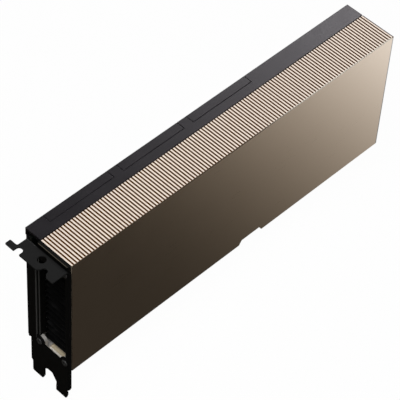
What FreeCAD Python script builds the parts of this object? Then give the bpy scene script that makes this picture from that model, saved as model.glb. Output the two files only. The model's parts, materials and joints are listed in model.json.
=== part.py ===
"""Passive two-slot accelerator card, built from its separate pieces in millimetres.

The card is drawn from its own corner: X runs from the bracket end to the tail end, Y is 0 on the
back cover's outer face and falls towards the shroud's face, and Z is 0 on the card's top and falls
towards the edge connector. Each finished piece is then moved so that the origin is on the seat
under the bracket's tab, midway between its two screw slots.
"""

import FreeCAD, Part
import os
from math import cos, pi, sin, sqrt, tan

# ---- Whole card -------------------------------------------------------------------------------
CARD_LENGTH = 267.0        # shroud, bracket end to tail end
CARD_DEPTH = 38.65         # back cover's outer face to the shroud's outer face
CARD_HEIGHT = 111.15       # card's top to the lower edge of the connector tongue
SHROUD_HEIGHT = 96.35      # card's top to the shroud's lower face

# ---- Shroud -----------------------------------------------------------------------------------
FACE_WALL = 1.5            # wall over the fins
TOP_WALL = 2.2             # ribbed wall
FLOOR_WALL = 1.4           # lower wall
FLOOR_BOARD_GAP = 0.9      # lower wall's inner edge to the board's component face
EDGE_BREAK = 0.3           # broken edge round the shroud's face
INNER_CORNER = 0.8         # radius inside the shroud's corners
RIB_PITCH = 2.174          # one rib and one groove
RIB_LAND = 1.087           # top of one rib
RIB_DEPTH = 1.2            # groove's depth
RIB_RIM = 0.45             # solid rim between the grooves and the face
RIB_STEP = 0.5             # lowered strip between the ribs and the top rail
LATCH_START = 139.4        # recess for the slot's latch, from the bracket end
LATCH_LENGTH = 20.2        # its length at the shroud's lower edge
LATCH_RISE = 3.7           # its height
LATCH_SLOPE = 2.3          # run of each sloping end
LATCH_CORNER = 0.9         # its corner radius

# ---- Top rail, back cover and bridge caps --------------------------------------------------------
RAIL_DEPTH = 12.7          # back cover's outer face to the rail's inner edge
RAIL_WALL = 1.8            # rail's top wall
RAIL_RIB = 1.2             # rail's two hanging ribs
RAIL_HEIGHT = 6.0          # rail's outer rib, down to the back cover
CAP_START = 12.9           # first bridge cap, from the bracket end
CAP_LENGTH = 49.1          # one bridge cap
CAP_PITCH = 56.35          # from one bridge cap to the next
CAP_COUNT = 3
CAP_DEPTH = 6.5            # cap's width across the card
CAP_HEIGHT = 7.4           # cap, top to skirt
CAP_SEAM = 0.15            # gap round a cap in its pocket
CAP_WALL = 1.0             # cap's top
COVER_WALL = 1.0           # back cover's sheet
COVER_LIFT = 2.15          # back cover's lower edge above the board's
COVER_INSET = 0.4          # back cover's ends, inside the rail's ends
COVER_CORNER = 2.0
FILM_WALL = 0.15           # insulating film behind the back cover
FILM_INSET = 3.0           # film's edges inside the cover's edges

# ---- Circuit board ------------------------------------------------------------------------------
BOARD_WALL = 1.57
BACK_ROOM = 2.67           # back cover's outer face to the board's back face
BOARD_INSET = 0.8          # board's ends inside the shroud's ends
BOARD_TOP = 6.6            # board's upper edge below the card's top
BOARD_HOLE_GAP = 0.3       # screw to its hole in the board
TONGUE_DROP = 8.25         # connector tongue below the board's lower edge
TONGUE_KEY = 55.65         # key notch's centre, from the bracket end
KEY_WIDTH = 1.9
KEY_DEPTH = 7.9
TONGUE_FRONT = 11.65       # tongue in front of the key
TONGUE_REAR = 71.65        # tongue behind the key
TONGUE_CHAMFER = 1.0       # tongue's outer corners
HOOK_GAP = 2.6             # slot between the tongue and the retaining hook
HOOK_LENGTH = 7.2
HOOK_NOTCH = 3.0           # notch above the hook's toe
PAD_PITCH = 1.0
PAD_WIDTH = 0.7
PAD_LENGTH = 5.4
PAD_WALL = 0.05
PAD_END_GAP = 0.5          # pad's end to the tongue's lower edge
PAD_MARGIN = 0.825         # first pad's centre to the tongue's side
BRIDGE_TONGUE = 41.0       # width of one bridge tongue
BRIDGE_TONGUE_RISE = 4.8   # its height above the board's upper edge

# ---- Processor package and board parts ---------------------------------------------------------------
PACKAGE_X = 104.0          # package centre, from the bracket end
PACKAGE_DROP = 47.0        # package centre below the card's top
SUBSTRATE_SIZE = 55.0
SUBSTRATE_WALL = 1.2
STIFFENER_RING = 4.0       # width of the ring round the package
STIFFENER_WALL = 1.0
INTERPOSER_LENGTH = 44.0
INTERPOSER_WIDTH = 34.0
INTERPOSER_WALL = 0.3
DIE_LENGTH = 26.0
DIE_WIDTH = 32.0
DIE_WALL = 0.8
STACK_LENGTH = 7.6
STACK_WIDTH = 10.2
STACK_PITCH = 10.9
STACK_ROWS = 3
CHOKE_SIZE = 7.0
CHOKE_WALL = 3.0
CHOKE_PITCH = 8.6
CHOKE_ROWS = 9
STAGE_LENGTH = 6.0
STAGE_WIDTH = 5.0
STAGE_WALL = 0.9
POWER_X = (150.0, 62.0)    # centre lines of the two columns of chokes, from the bracket end
STAGE_STEP = 8.4           # choke's centre line to its power stage's
CAPACITOR_SIZE = (7.3, 4.3, 2.8)
CAPACITOR_X = 196.0
CAPACITOR_PITCH = 10.5
CAPACITOR_COUNT = 8
CHIP_WALL = 1.1
CHIPS = ((222.0, 24.0, 12.0, 12.0), (222.0, 44.0, 8.0, 6.0), (30.0, 30.0, 10.0, 10.0),
         (30.0, 62.0, 6.0, 5.0))     # X, drop, length and width of each control chip

# ---- Heatsink -----------------------------------------------------------------------------------
HEAT_START = 3.0           # heatsink's front edge, from the bracket end
HEAT_END_GAP = 10.0        # heatsink's rear edge to the tail end
BASE_FACE = 12.2           # base's fin side, from the back cover's outer face
BASE_WALL = 4.0
BASE_TOP = 4.5             # base's upper edge below the card's top
BASE_FLOOR_GAP = 0.35      # base's lower edge to the roof of the latch recess
LUG_LENGTH = 12.0          # base's lugs down to the lower wall
PEDESTAL_LENGTH = 42.0
PEDESTAL_WIDTH = 35.0
PASTE_WALL = 0.1
FIN_PITCH = 2.45
FIN_WALL = 0.4
FIN_FOOT_GAP = 0.1         # folded foot to the next fin
FIN_STAGGER = 4.0          # every second fin's front edge, set back
FIN_FACE_GAP = 0.5         # fins' tips to the shroud's face wall
FIN_END_ROOM = 0.05        # first fin above the base's lower edge

# ---- Fasteners ------------------------------------------------------------------------------------
FASTENER_SIDES = 10        # flats that stand for a round on small fasteners and their holes
SPRING_SQUARE = 66.0       # heatsink screws, centre to centre
SPRING_WALL = 0.6          # leaf spring's sheet
SPRING_ARM = 7.0           # width of its arms
SPRING_HUB = 34.0          # its middle plate
SPRING_WINDOW = 20.0       # opening in that plate
SHANK_RADIUS = 1.2
THREAD_GAP = 0.08          # shank to hole
HEAD_WALL = 0.7            # heatsink screw's low head
HEAD_RADIUS = 2.6
HEATSINK_SHANK = 6.5       # from under the head into the base's post
HEATSINK_TIP = 0.6         # hole's depth past the screw's tip
POST_RADIUS = 3.4          # standoff posts on the board
COVER_SCREW_FRONT = 10.0             # first cover screws, from the bracket end
COVER_SCREW_PACKAGE = (-16.0, 74.0)  # middle ones, from the package's centre
COVER_SCREW_TAIL = 20.0              # last ones, from the tail end
COVER_SCREW_TOP = 14.0               # their upper row below the card's top
COVER_SCREW_LOW = 11.4               # their lower row above the board's lower edge
STANDOFF_DEPTH = 2.8                 # threaded depth in each standoff
COVER_SCREW_TIP = 0.4                # screw's tip short of that depth
COVER_HEAD_RADIUS = 2.3
COVER_HEAD_WALL = 0.9
FLOOR_SCREW_FRONT = (24.0, 116.0)    # lower wall's screws, from the bracket end
FLOOR_SCREW_TAIL = (77.0, 23.0)      # and from the tail end
FLOOR_HEAD_RADIUS = 2.2
FLOOR_HEAD_WALL = 1.0
FLOOR_SHANK = 4.4

# ---- Bracket and front collar ------------------------------------------------------------------------
SHEET = 0.9                # bracket's sheet
PLATE_FACE = 3.4           # plate's outer face in front of the shroud
BEND = 0.8                 # inner radius of the tab's bend
TAB_DROP = 2.0             # tab's top below the card's top
TAB_DEPTH = 11.43          # plate's outer face to the tab's outer edge
TAB_SIDE = 5.4             # tab's board-side edge, from the back cover's outer face
EAR_WIDTH = 4.0            # ear beside the first slot
EAR_REACH = 5.6            # ear beyond the tab's side
EAR_FILLET = 1.0
SLOT_WIDTH = 4.42
SLOT_FROM_EDGE = 2.2       # slot's round end centre to the tab's outer edge
SLOT_PITCH = 20.32
SLOT_SIDE = 9.0            # first slot's centre, from the back cover's outer face
SLOT_FLARE = 2.0           # second slot's flared mouth
TAB_HOLE_RADIUS = 2.75
TAB_HOLE_SIDE = 22.4       # round hole's centre, from the back cover's outer face
TAB_HOLE_OUT = 4.4         # and from the plate's outer face
BRACKET_LENGTH = 120.02    # tab's top to the tongues' tips
STEP_ONE = (23.6, 6.7)     # plate's first step: above its end, and side
STEP_TWO = (2.0, 7.9)      # and its second
TONGUE_WIDTH = 10.19
TONGUE_TIP = 1.6           # tongues' tapered corners
TONGUE_LENGTH = 8.42       # tongues below the plate's end
ARCH_RISE = 4.4            # arch between the tongues
FLANGE_DEPTH = 2.8         # flange folded back from the plate's outer face
FLANGE_BEND = 0.5
FLANGE_TOP = 5.0           # flange's upper end below the card's top
WINDOW_SIDE = 11.5         # window's board-side edge, from the back cover's outer face
WINDOW_FAR = 2.1           # its other edge, from the shroud's outer face
WINDOW_TOP = 11.0          # its upper edge below the card's top
WINDOW_DROP = 88.3         # its lower edge below the card's top
WINDOW_EAR = 4.0           # radius of the sheet left round the two lower screws
BRACKET_SCREW_SIDE = 14.3  # near screws, from the back cover's outer face
BRACKET_SCREW_FAR = 2.75   # far screws, from the shroud's outer face
BRACKET_SCREW_DROPS = (6.4, 87.9)
BRACKET_HEAD_RADIUS = 2.2
BRACKET_HEAD_WALL = 0.75
BRACKET_SHANK = 3.2
SCREW_RADIUS = 1.15
PLATE_HOLE_GAP = 0.2       # bracket screw to its hole in the plate
BRACKET_HOLE_TIP = 0.3     # threaded hole's depth past the screw's tip
COLLAR_SIDE = 11.2         # collar's board-side face, from the back cover's outer face
COLLAR_WALL = 2.4
COLLAR_TOP = 0.3           # collar's upper edge below the card's top
COLLAR_STEP = 5.0          # its upper board-side corner, cut back to the shroud's ribs
COLLAR_NECK = 2.4          # neck inside the shroud
COLLAR_FIT = 0.1           # collar to flange and neck to shroud
BOSS_RADIUS = 3.3          # lower threaded feet
FOOT_LENGTH = 6.0
FOOT_WALL = 1.2

# ---- Tail frame and power socket ----------------------------------------------------------------------
TAIL_WALL = 2.0            # tail frame's plate
TAIL_LIP = 6.0             # depth of the lip round the air opening
TAIL_LIP_WALL = 1.2
TAIL_FIT = 0.1             # tail frame inside the shroud
AIR_INSET = 1.4            # air opening inside the tail frame's edges
AIR_CORNER = 1.5           # its corner radius
SOCKET_DROP = 72.0         # socket's centre below the card's top
SOCKET_WIDTH = 19.2        # four cells across
SOCKET_HEIGHT = 9.6        # two rows of cells
SOCKET_LIFT = 1.4          # socket's housing above the board
SOCKET_DEPTH = 13.5
SOCKET_EDGE = 0.6          # its broken edges
CELL_PITCH = 4.2
CELL_SIZE = 3.5
CELL_DEPTH = 11.0
CELL_CORNER = 0.9
PIN_SIZE = 1.1
PIN_REACH = 8.0            # pin inside its cell
LATCH_BAR = (4.2, 1.3, 3.5)          # catch bar's width, height and length on the socket
SOCKET_ROOM = 1.2          # heatsink and tail frame to the socket
SOCKET_POCKET = 26.0       # length of the heatsink's cut-out at the socket
INSERT_DROPS = (9.5, 89.5)           # tail inserts below the card's top
INSERT_SIDE = 8.4          # tail inserts, from the back cover's outer face
INSERT_RADIUS = 2.4
INSERT_HOLE = 1.25
INSERT_LENGTH = 5.0
INSERT_BOSS = 3.8
PAST = 5.0                 # how far a cutter runs past what it cuts

# ---- Places worked out from the sizes above ------------------------------------------------------------
FACE_Y = -CARD_DEPTH                         # shroud's outer face
FACE_IN = FACE_Y + FACE_WALL
FLOOR_Z = -SHROUD_HEIGHT
FLOOR_IN = FLOOR_Z + FLOOR_WALL
BOARD_BACK = -BACK_ROOM
BOARD_FACE = BOARD_BACK - BOARD_WALL
BOARD_START = BOARD_INSET
BOARD_END = CARD_LENGTH - BOARD_INSET
BOARD_LOW = -CARD_HEIGHT + TONGUE_DROP       # board's lower edge
SUBSTRATE_FACE = BOARD_FACE - SUBSTRATE_WALL
INTERPOSER_FACE = SUBSTRATE_FACE - INTERPOSER_WALL
DIE_FACE = INTERPOSER_FACE - DIE_WALL
PASTE_FACE = DIE_FACE - PASTE_WALL
BASE_FIN_SIDE = -BASE_FACE
BASE_BOARD_SIDE = BASE_FIN_SIDE + BASE_WALL
BASE_HIGH = -BASE_TOP
BASE_LOW = FLOOR_IN + LATCH_RISE + BASE_FLOOR_GAP
HEAT_END = CARD_LENGTH - HEAT_END_GAP
PLATE_OUT = -PLATE_FACE
PLATE_IN = PLATE_OUT + SHEET
TONGUE_TIP_Z = -TAB_DROP - BRACKET_LENGTH
PLATE_END = TONGUE_TIP_Z + TONGUE_LENGTH
TAB_UNDER = -TAB_DROP - SHEET
SLOT_X = PLATE_OUT - TAB_DEPTH + SLOT_FROM_EDGE
SEAT = FreeCAD.Vector(SLOT_X, -SLOT_SIDE - SLOT_PITCH / 2, TAB_UNDER)
BRACKET_SCREW_YS = (-BRACKET_SCREW_SIDE, FACE_Y + BRACKET_SCREW_FAR)
COLLAR_FAR = FACE_Y + SHEET + COLLAR_FIT
COLLAR_NEAR_IN = -COLLAR_SIDE - COLLAR_WALL
COLLAR_FAR_IN = FACE_Y + WINDOW_FAR
SOCKET_START = CARD_LENGTH - SOCKET_DEPTH
SOCKET_NEAR = BOARD_FACE - SOCKET_LIFT
SOCKET_FAR = SOCKET_NEAR - SOCKET_HEIGHT
SOCKET_TOP = -SOCKET_DROP + SOCKET_WIDTH / 2
SOCKET_LOW = -SOCKET_DROP - SOCKET_WIDTH / 2


# ---- Building blocks ------------------------------------------------------------------------------
def vec(x, y, z):
    """A point or direction."""
    return FreeCAD.Vector(x, y, z)


def block(xs, ys, zs):
    """A box between two values on each axis, given in either order."""
    low = [min(pair) for pair in (xs, ys, zs)]
    size = [abs(pair[1] - pair[0]) for pair in (xs, ys, zs)]
    return Part.makeBox(*size, vec(*low))


def rod(start, axis, radius, length):
    """A cylinder from a point along an axis."""
    return Part.makeCylinder(radius, length, start, axis)


def turned(start, axis, profile):
    """A faceted round solid about axis, through (distance, radius) pairs along it."""
    side = vec(0, 0, 1) if abs(axis.z) < 0.5 else vec(1, 0, 0)
    other = axis.cross(side)
    turns = [2 * pi * index / FASTENER_SIDES for index in range(FASTENER_SIDES)]
    rings = [[start + axis * distance + (side * cos(turn) + other * sin(turn)) * radius
              for turn in turns] for distance, radius in profile]
    outlines = [rings[0][::-1], rings[-1]]
    for low, high in zip(rings, rings[1:]):
        outlines += [[low[index - 1], low[index], high[index], high[index - 1]]
                     for index in range(FASTENER_SIDES)]
    faces = [Part.Face(Part.makePolygon(points + points[:1])) for points in outlines]
    return Part.Solid(Part.Shell(faces))


def post(start, axis, radius, length):
    """A faceted rod, for a small fastener or its hole."""
    return turned(start, axis, [(0, radius), (length, radius)])


def rounded_face(corners, place):
    """A flat face through (u, v, radius) corners, where place turns (u, v) into a point."""
    flat = [vec(u, v, 0) for u, v, radius in corners]
    edges = []
    ends = []
    for index, (u, v, radius) in enumerate(corners):
        here = flat[index]
        before = (flat[index - 1] - here).normalize()
        after = (flat[(index + 1) % len(flat)] - here).normalize()
        if radius == 0:
            ends.append((here, here))
            continue
        half = before.getAngle(after) / 2
        inward = (before + after).normalize()
        centre = here + inward * (radius / sin(half))
        start = here + before * (radius / tan(half))
        end = here + after * (radius / tan(half))
        middle = centre - inward * radius
        edges.append(Part.Arc(*[place(p.x, p.y) for p in (start, middle, end)]).toShape())
        ends.append((start, end))
    for index in range(len(ends)):
        start = ends[index - 1][1]
        end = ends[index][0]
        if (end - start).Length > 1e-6:
            edges.append(Part.makeLine(place(start.x, start.y), place(end.x, end.y)))
    return Part.Face(Part.Wire(Part.__sortEdges__(edges)))


def on_x(x):
    """Place (y, z) on a plane across the card's length."""
    return lambda y, z: vec(x, y, z)


def on_y(y):
    """Place (x, z) on a plane parallel to the board."""
    return lambda x, z: vec(x, y, z)


def on_z(z):
    """Place (x, y) on a level plane."""
    return lambda x, y: vec(x, y, z)


def rectangle(us, vs, radius=0.0):
    """The corners of a rectangle with rounded corners."""
    (u0, u1), (v0, v1) = sorted(us), sorted(vs)
    return [(u0, v0, radius), (u1, v0, radius), (u1, v1, radius), (u0, v1, radius)]


def joined(pieces):
    """One solid from pieces that meet."""
    whole = pieces[0].multiFuse(pieces[1:]).removeSplitter()
    return whole.Solids[0] if len(whole.Solids) == 1 else whole


def pan_screw(seat, axis, head_radius, head_wall, shank_radius, shank_length):
    """A low-headed screw whose head bears on seat and whose shank runs along axis."""
    slope = head_wall / 3
    return turned(seat, axis, [(-head_wall, head_radius - slope), (slope - head_wall, head_radius),
                               (0, head_radius), (0, shank_radius), (shank_length, shank_radius)])


def sunk_screw(top, axis, head_radius, head_wall, shank_radius, shank_length):
    """A countersunk screw with its head's flat at top and its shank along axis."""
    return turned(top, axis, [(0, head_radius), (head_wall, shank_radius),
                              (head_wall + shank_length, shank_radius)])


def sunk_hole(top, axis, head_radius, head_wall, shank_radius, length):
    """The space that a countersunk screw needs, with its clearance, down to length."""
    gap = THREAD_GAP
    spread = gap * (head_radius - shank_radius) / head_wall
    return turned(top, axis, [(-gap, head_radius + gap + 2 * spread),
                              (head_wall + gap, shank_radius + gap),
                              (length + gap, shank_radius + gap)])


# ---- Shroud ---------------------------------------------------------------------------------------
def latch_recess(rise, widen):
    """The outline of the latch recess from the shroud's lower face, raised and widened."""
    low = FLOOR_Z - 1.0
    high = FLOOR_Z + rise
    slope = LATCH_SLOPE / LATCH_RISE
    foot = LATCH_START - widen - slope * 1.0
    reach = LATCH_START + LATCH_LENGTH + widen + slope * 1.0
    run = slope * (rise + 1.0)
    return [(foot, low, 0), (foot + run, high, LATCH_CORNER),
            (reach - run, high, LATCH_CORNER), (reach, low, 0)]


def shroud():
    """The ribbed cover: face wall, ribbed top wall, and a lower wall that clears the latch."""
    inner_edge = BOARD_FACE - FLOOR_BOARD_GAP
    profile = [(-RAIL_DEPTH, 0.0, 0), (FACE_Y + EDGE_BREAK, 0.0, 0), (FACE_Y, -EDGE_BREAK, 0),
               (FACE_Y, FLOOR_Z + EDGE_BREAK, 0), (FACE_Y + EDGE_BREAK, FLOOR_Z, 0),
               (inner_edge, FLOOR_Z, 0), (inner_edge, FLOOR_IN, 0), (FACE_IN, FLOOR_IN, INNER_CORNER),
               (FACE_IN, -TOP_WALL, INNER_CORNER), (-RAIL_DEPTH, -TOP_WALL, 0)]
    body = rounded_face(profile, on_x(0.0)).extrude(vec(CARD_LENGTH, 0, 0))
    roof = rounded_face(latch_recess(LATCH_RISE + FLOOR_WALL, FLOOR_WALL), on_y(inner_edge))
    roof = roof.extrude(vec(0, FACE_IN - inner_edge, 0))
    keep = block((0, CARD_LENGTH), (FACE_IN, inner_edge), (FLOOR_Z, 0))
    recess = rounded_face(latch_recess(LATCH_RISE, 0.0), on_y(inner_edge + 1.0))
    recess = recess.extrude(vec(0, FACE_Y - inner_edge - 2.0, 0))
    body = body.fuse(roof.common(keep)).cut(recess)
    cuts = [rib_grooves(), floor_screw_holes()]
    return body.cut(Part.makeCompound(cuts)).removeSplitter()


def rib_grooves():
    """Every groove across the top wall, with the lowered strip that they run out into."""
    rim = FACE_Y + RIB_RIM
    grooves = [block((-1.0, CARD_LENGTH + 1.0), (-RAIL_DEPTH + 1.0, -RAIL_DEPTH - RIB_STEP),
                     (-RIB_DEPTH, 1.0))]
    start = RIB_LAND
    while start < CARD_LENGTH:
        end = start + RIB_PITCH - RIB_LAND
        grooves.append(block((start, end), (-RAIL_DEPTH, rim), (-RIB_DEPTH, 1.0)))
        start += RIB_PITCH
    return grooves[0].multiFuse(grooves[1:])


def floor_screw_places():
    """The centres of the screws that hold the shroud's lower wall to the heatsink's lugs."""
    side = (BASE_BOARD_SIDE + BASE_FIN_SIDE) / 2
    xs = FLOOR_SCREW_FRONT + tuple(CARD_LENGTH - x for x in FLOOR_SCREW_TAIL)
    return [vec(x, side, FLOOR_Z) for x in xs]


def floor_screw_holes():
    """Countersunk holes through the lower wall and into the lugs."""
    up = vec(0, 0, 1)
    return Part.makeCompound([sunk_hole(place, up, FLOOR_HEAD_RADIUS, FLOOR_HEAD_WALL,
                                        SCREW_RADIUS, FLOOR_HEAD_WALL + FLOOR_SHANK)
                              for place in floor_screw_places()])


def shroud_screws():
    """The four countersunk screws in the lower wall."""
    up = vec(0, 0, 1)
    return [sunk_screw(place, up, FLOOR_HEAD_RADIUS, FLOOR_HEAD_WALL, SCREW_RADIUS, FLOOR_SHANK)
            for place in floor_screw_places()]


# ---- Top rail, bridge caps and back cover ---------------------------------------------------------------
def cap_starts():
    """Where each bridge cap begins along the card."""
    return [CAP_START + index * CAP_PITCH for index in range(CAP_COUNT)]


def top_rail():
    """The plain strip along the board's upper edge, with an open pocket for each bridge cap."""
    profile = [(0, -EDGE_BREAK, 0), (-EDGE_BREAK, 0, 0), (-RAIL_DEPTH, 0, 0),
               (-RAIL_DEPTH, BASE_HIGH, 0), (-RAIL_DEPTH + RAIL_RIB, BASE_HIGH, 0),
               (-RAIL_DEPTH + RAIL_RIB, -RAIL_WALL, 0), (-RAIL_RIB, -RAIL_WALL, 0),
               (-RAIL_RIB, -RAIL_HEIGHT, 0), (0, -RAIL_HEIGHT, 0)]
    rail = rounded_face(profile, on_x(0.0)).extrude(vec(CARD_LENGTH, 0, 0))
    pockets = [block((start - CAP_SEAM, start + CAP_LENGTH + CAP_SEAM),
                     (1.0, -CAP_DEPTH - CAP_SEAM), (-RAIL_HEIGHT - 1.0, 1.0))
               for start in cap_starts()]
    return rail.cut(Part.makeCompound(pockets)).removeSplitter()


def bridge_cap(start):
    """One push-on cap over a bridge tongue: a closed channel that stands on the board."""
    ends = (start, start + CAP_LENGTH)
    cap = block(ends, (0, -CAP_DEPTH), (0, -CAP_HEIGHT))
    edges = [edge for edge in cap.Edges if edge.BoundBox.ZMin > -1e-6]
    cap = cap.makeChamfer(EDGE_BREAK, edges)
    middle = start + CAP_LENGTH / 2
    slot = block((middle - BRIDGE_TONGUE / 2 - CAP_SEAM, middle + BRIDGE_TONGUE / 2 + CAP_SEAM),
                 (BOARD_BACK + CAP_SEAM, BOARD_FACE - CAP_SEAM), (-CAP_WALL, -CAP_HEIGHT))
    saddle = block((start - 1.0, start + CAP_LENGTH + 1.0),
                   (BOARD_BACK + CAP_SEAM, BOARD_FACE - CAP_SEAM), (-BOARD_TOP, -CAP_HEIGHT - 1))
    cover = block((start - 1.0, start + CAP_LENGTH + 1.0), (1.0, -COVER_WALL - CAP_SEAM),
                  (-RAIL_HEIGHT, -CAP_HEIGHT - 1))
    return cap.cut(slot).cut(saddle).cut(cover).removeSplitter()


def cover_screw_places():
    """The centres of the back cover's screws on its outer face."""
    xs = [COVER_SCREW_FRONT] + [PACKAGE_X + x for x in COVER_SCREW_PACKAGE]
    xs.append(CARD_LENGTH - COVER_SCREW_TAIL)
    zs = (-COVER_SCREW_TOP, BOARD_LOW + COVER_SCREW_LOW)
    return [vec(x, 0, z) for z in zs for x in xs]


def back_cover():
    """The flat cover behind the board, with pressed spacers at its screws."""
    low = BOARD_LOW + COVER_LIFT
    ends = (COVER_INSET, CARD_LENGTH - COVER_INSET)
    corners = [(ends[0], low, COVER_CORNER), (ends[1], low, COVER_CORNER),
               (ends[1], -RAIL_HEIGHT, 0), (ends[0], -RAIL_HEIGHT, 0)]
    sheet = rounded_face(corners, on_y(0.0)).extrude(vec(0, -COVER_WALL, 0))
    spacers = [post(place + vec(0, -COVER_WALL, 0), vec(0, -1, 0), POST_RADIUS,
                    BACK_ROOM - COVER_WALL) for place in cover_screw_places()]
    holes = [sunk_hole(place, vec(0, -1, 0), COVER_HEAD_RADIUS, COVER_HEAD_WALL, SCREW_RADIUS,
                       BACK_ROOM + 1.0) for place in cover_screw_places()]
    return joined([sheet] + spacers).cut(Part.makeCompound(holes)).removeSplitter()


def insulating_film():
    """The thin film between the back cover and the board's solder side."""
    low = BOARD_LOW + COVER_LIFT + FILM_INSET
    xs = (COVER_INSET + FILM_INSET, CARD_LENGTH - COVER_INSET - FILM_INSET)
    corners = rectangle(xs, (low, -RAIL_HEIGHT - FILM_INSET))
    film = rounded_face(corners, on_y(-COVER_WALL)).extrude(vec(0, -FILM_WALL, 0))
    holes = [post(place, vec(0, -1, 0), POST_RADIUS + CAP_SEAM, BACK_ROOM)
             for place in cover_screw_places()]
    return film.cut(Part.makeCompound(holes))


def cover_screws():
    """The back cover's countersunk screws, down into the standoffs."""
    length = (BACK_ROOM + BOARD_WALL + STANDOFF_DEPTH - COVER_SCREW_TIP) - COVER_HEAD_WALL
    return [sunk_screw(place, vec(0, -1, 0), COVER_HEAD_RADIUS, COVER_HEAD_WALL, SCREW_RADIUS,
                       length) for place in cover_screw_places()]


def board_standoffs():
    """The threaded posts that stand between the board and the heatsink's base."""
    posts = []
    for place in cover_screw_places():
        start = vec(place.x, BOARD_FACE, place.z)
        body = post(start, vec(0, -1, 0), POST_RADIUS, BOARD_FACE - BASE_BOARD_SIDE)
        hole = post(start, vec(0, -1, 0), SCREW_RADIUS + THREAD_GAP, STANDOFF_DEPTH)
        posts.append(body.cut(hole))
    return posts


# ---- Circuit board ----------------------------------------------------------------------------------
def heatsink_screw_places():
    """The four screws round the package, as (x, z)."""
    half = SPRING_SQUARE / 2
    return [(PACKAGE_X + i * half, -PACKAGE_DROP + j * half) for i in (-1, 1) for j in (-1, 1)]


def tongue_ends():
    """The connector tongue's two ends along the card."""
    return (TONGUE_KEY - KEY_WIDTH / 2 - TONGUE_FRONT, TONGUE_KEY + KEY_WIDTH / 2 + TONGUE_REAR)


def board_outline():
    """The board's outline: bridge tongues on top, keyed connector tongue and hook below."""
    front, rear = tongue_ends()
    low = -CARD_HEIGHT
    key = (TONGUE_KEY - KEY_WIDTH / 2, TONGUE_KEY + KEY_WIDTH / 2)
    hook = (rear + HOOK_GAP, rear + HOOK_GAP + HOOK_LENGTH)
    chamfer = TONGUE_CHAMFER
    points = [(BOARD_START, -BOARD_TOP, 0), (BOARD_START, BOARD_LOW, 0),
              (front, BOARD_LOW, 0), (front, low + chamfer, 0), (front + chamfer, low, 0),
              (key[0] - chamfer / 2, low, 0), (key[0], low + chamfer / 2, 0),
              (key[0], low + KEY_DEPTH, KEY_WIDTH * 0.49), (key[1], low + KEY_DEPTH,
                                                           KEY_WIDTH * 0.49),
              (key[1], low + chamfer / 2, 0), (key[1] + chamfer / 2, low, 0),
              (rear - chamfer, low, 0), (rear, low + chamfer, 0), (rear, BOARD_LOW, 1.0),
              (hook[0], BOARD_LOW, 1.0), (hook[0], low + chamfer, 0), (hook[0] + chamfer, low, 0),
              (hook[1] - chamfer, low, 0), (hook[1], low + chamfer, 0),
              (hook[1], low + HOOK_NOTCH, 0), (hook[1] - HOOK_NOTCH, low + HOOK_NOTCH + 0.8, 0),
              (hook[1] - HOOK_NOTCH, BOARD_LOW, 0.8), (BOARD_END, BOARD_LOW, 0),
              (BOARD_END, -BOARD_TOP, 0)]
    for start in reversed(cap_starts()):
        middle = start + CAP_LENGTH / 2
        high = -BOARD_TOP + BRIDGE_TONGUE_RISE
        right = middle + BRIDGE_TONGUE / 2
        left = middle - BRIDGE_TONGUE / 2
        points += [(right, -BOARD_TOP, 0), (right, high - 0.8, 0), (right - 0.8, high, 0),
                   (left + 0.8, high, 0), (left, high - 0.8, 0), (left, -BOARD_TOP, 0)]
    return points


def circuit_board():
    """The bare board with its screw holes."""
    board = rounded_face(board_outline(), on_y(BOARD_BACK)).extrude(vec(0, -BOARD_WALL, 0))
    down = vec(0, -1, 0)
    holes = [post(vec(place.x, BOARD_BACK + PAST, place.z), down, SCREW_RADIUS + BOARD_HOLE_GAP,
                  BOARD_WALL + 2 * PAST) for place in cover_screw_places()]
    holes += [post(vec(x, BOARD_BACK + PAST, z), down, SHANK_RADIUS + BOARD_HOLE_GAP,
                   BOARD_WALL + 2 * PAST) for x, z in heatsink_screw_places()]
    return board.cut(Part.makeCompound(holes))


def edge_contacts():
    """The gold pads on both faces of the connector tongue."""
    front, rear = tongue_ends()
    zs = (-CARD_HEIGHT + PAD_END_GAP, -CARD_HEIGHT + PAD_END_GAP + PAD_LENGTH)
    centres = []
    for start, end in ((front, front + TONGUE_FRONT), (rear - TONGUE_REAR, rear)):
        x = start + PAD_MARGIN
        while x < end - PAD_MARGIN + 1e-6:
            centres.append(x)
            x += PAD_PITCH
    pads = []
    for x in centres:
        xs = (x - PAD_WIDTH / 2, x + PAD_WIDTH / 2)
        pads.append(block(xs, (BOARD_BACK, BOARD_BACK + PAD_WALL), zs))
        pads.append(block(xs, (BOARD_FACE, BOARD_FACE - PAD_WALL), zs))
    return pads


# ---- Processor package and board parts ------------------------------------------------------------------
def centred(size_x, size_z, near, far, x=PACKAGE_X, z=-PACKAGE_DROP):
    """A box centred on the package, or on another point of the board."""
    return block((x - size_x / 2, x + size_x / 2), (near, far), (z - size_z / 2, z + size_z / 2))


def package_substrate():
    """The package's substrate on the board."""
    return centred(SUBSTRATE_SIZE, SUBSTRATE_SIZE, BOARD_FACE, SUBSTRATE_FACE)


def package_stiffener():
    """The metal ring round the top of the substrate."""
    face = SUBSTRATE_FACE - STIFFENER_WALL
    inner = SUBSTRATE_SIZE - 2 * STIFFENER_RING
    ring = centred(SUBSTRATE_SIZE, SUBSTRATE_SIZE, SUBSTRATE_FACE, face)
    return ring.cut(centred(inner, inner, SUBSTRATE_FACE + PAST, face - PAST))


def interposer():
    """The silicon carrier under the die and the memory."""
    return centred(INTERPOSER_LENGTH, INTERPOSER_WIDTH, SUBSTRATE_FACE, INTERPOSER_FACE)


def processor_die():
    """The processor die."""
    return centred(DIE_LENGTH, DIE_WIDTH, INTERPOSER_FACE, DIE_FACE)


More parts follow.
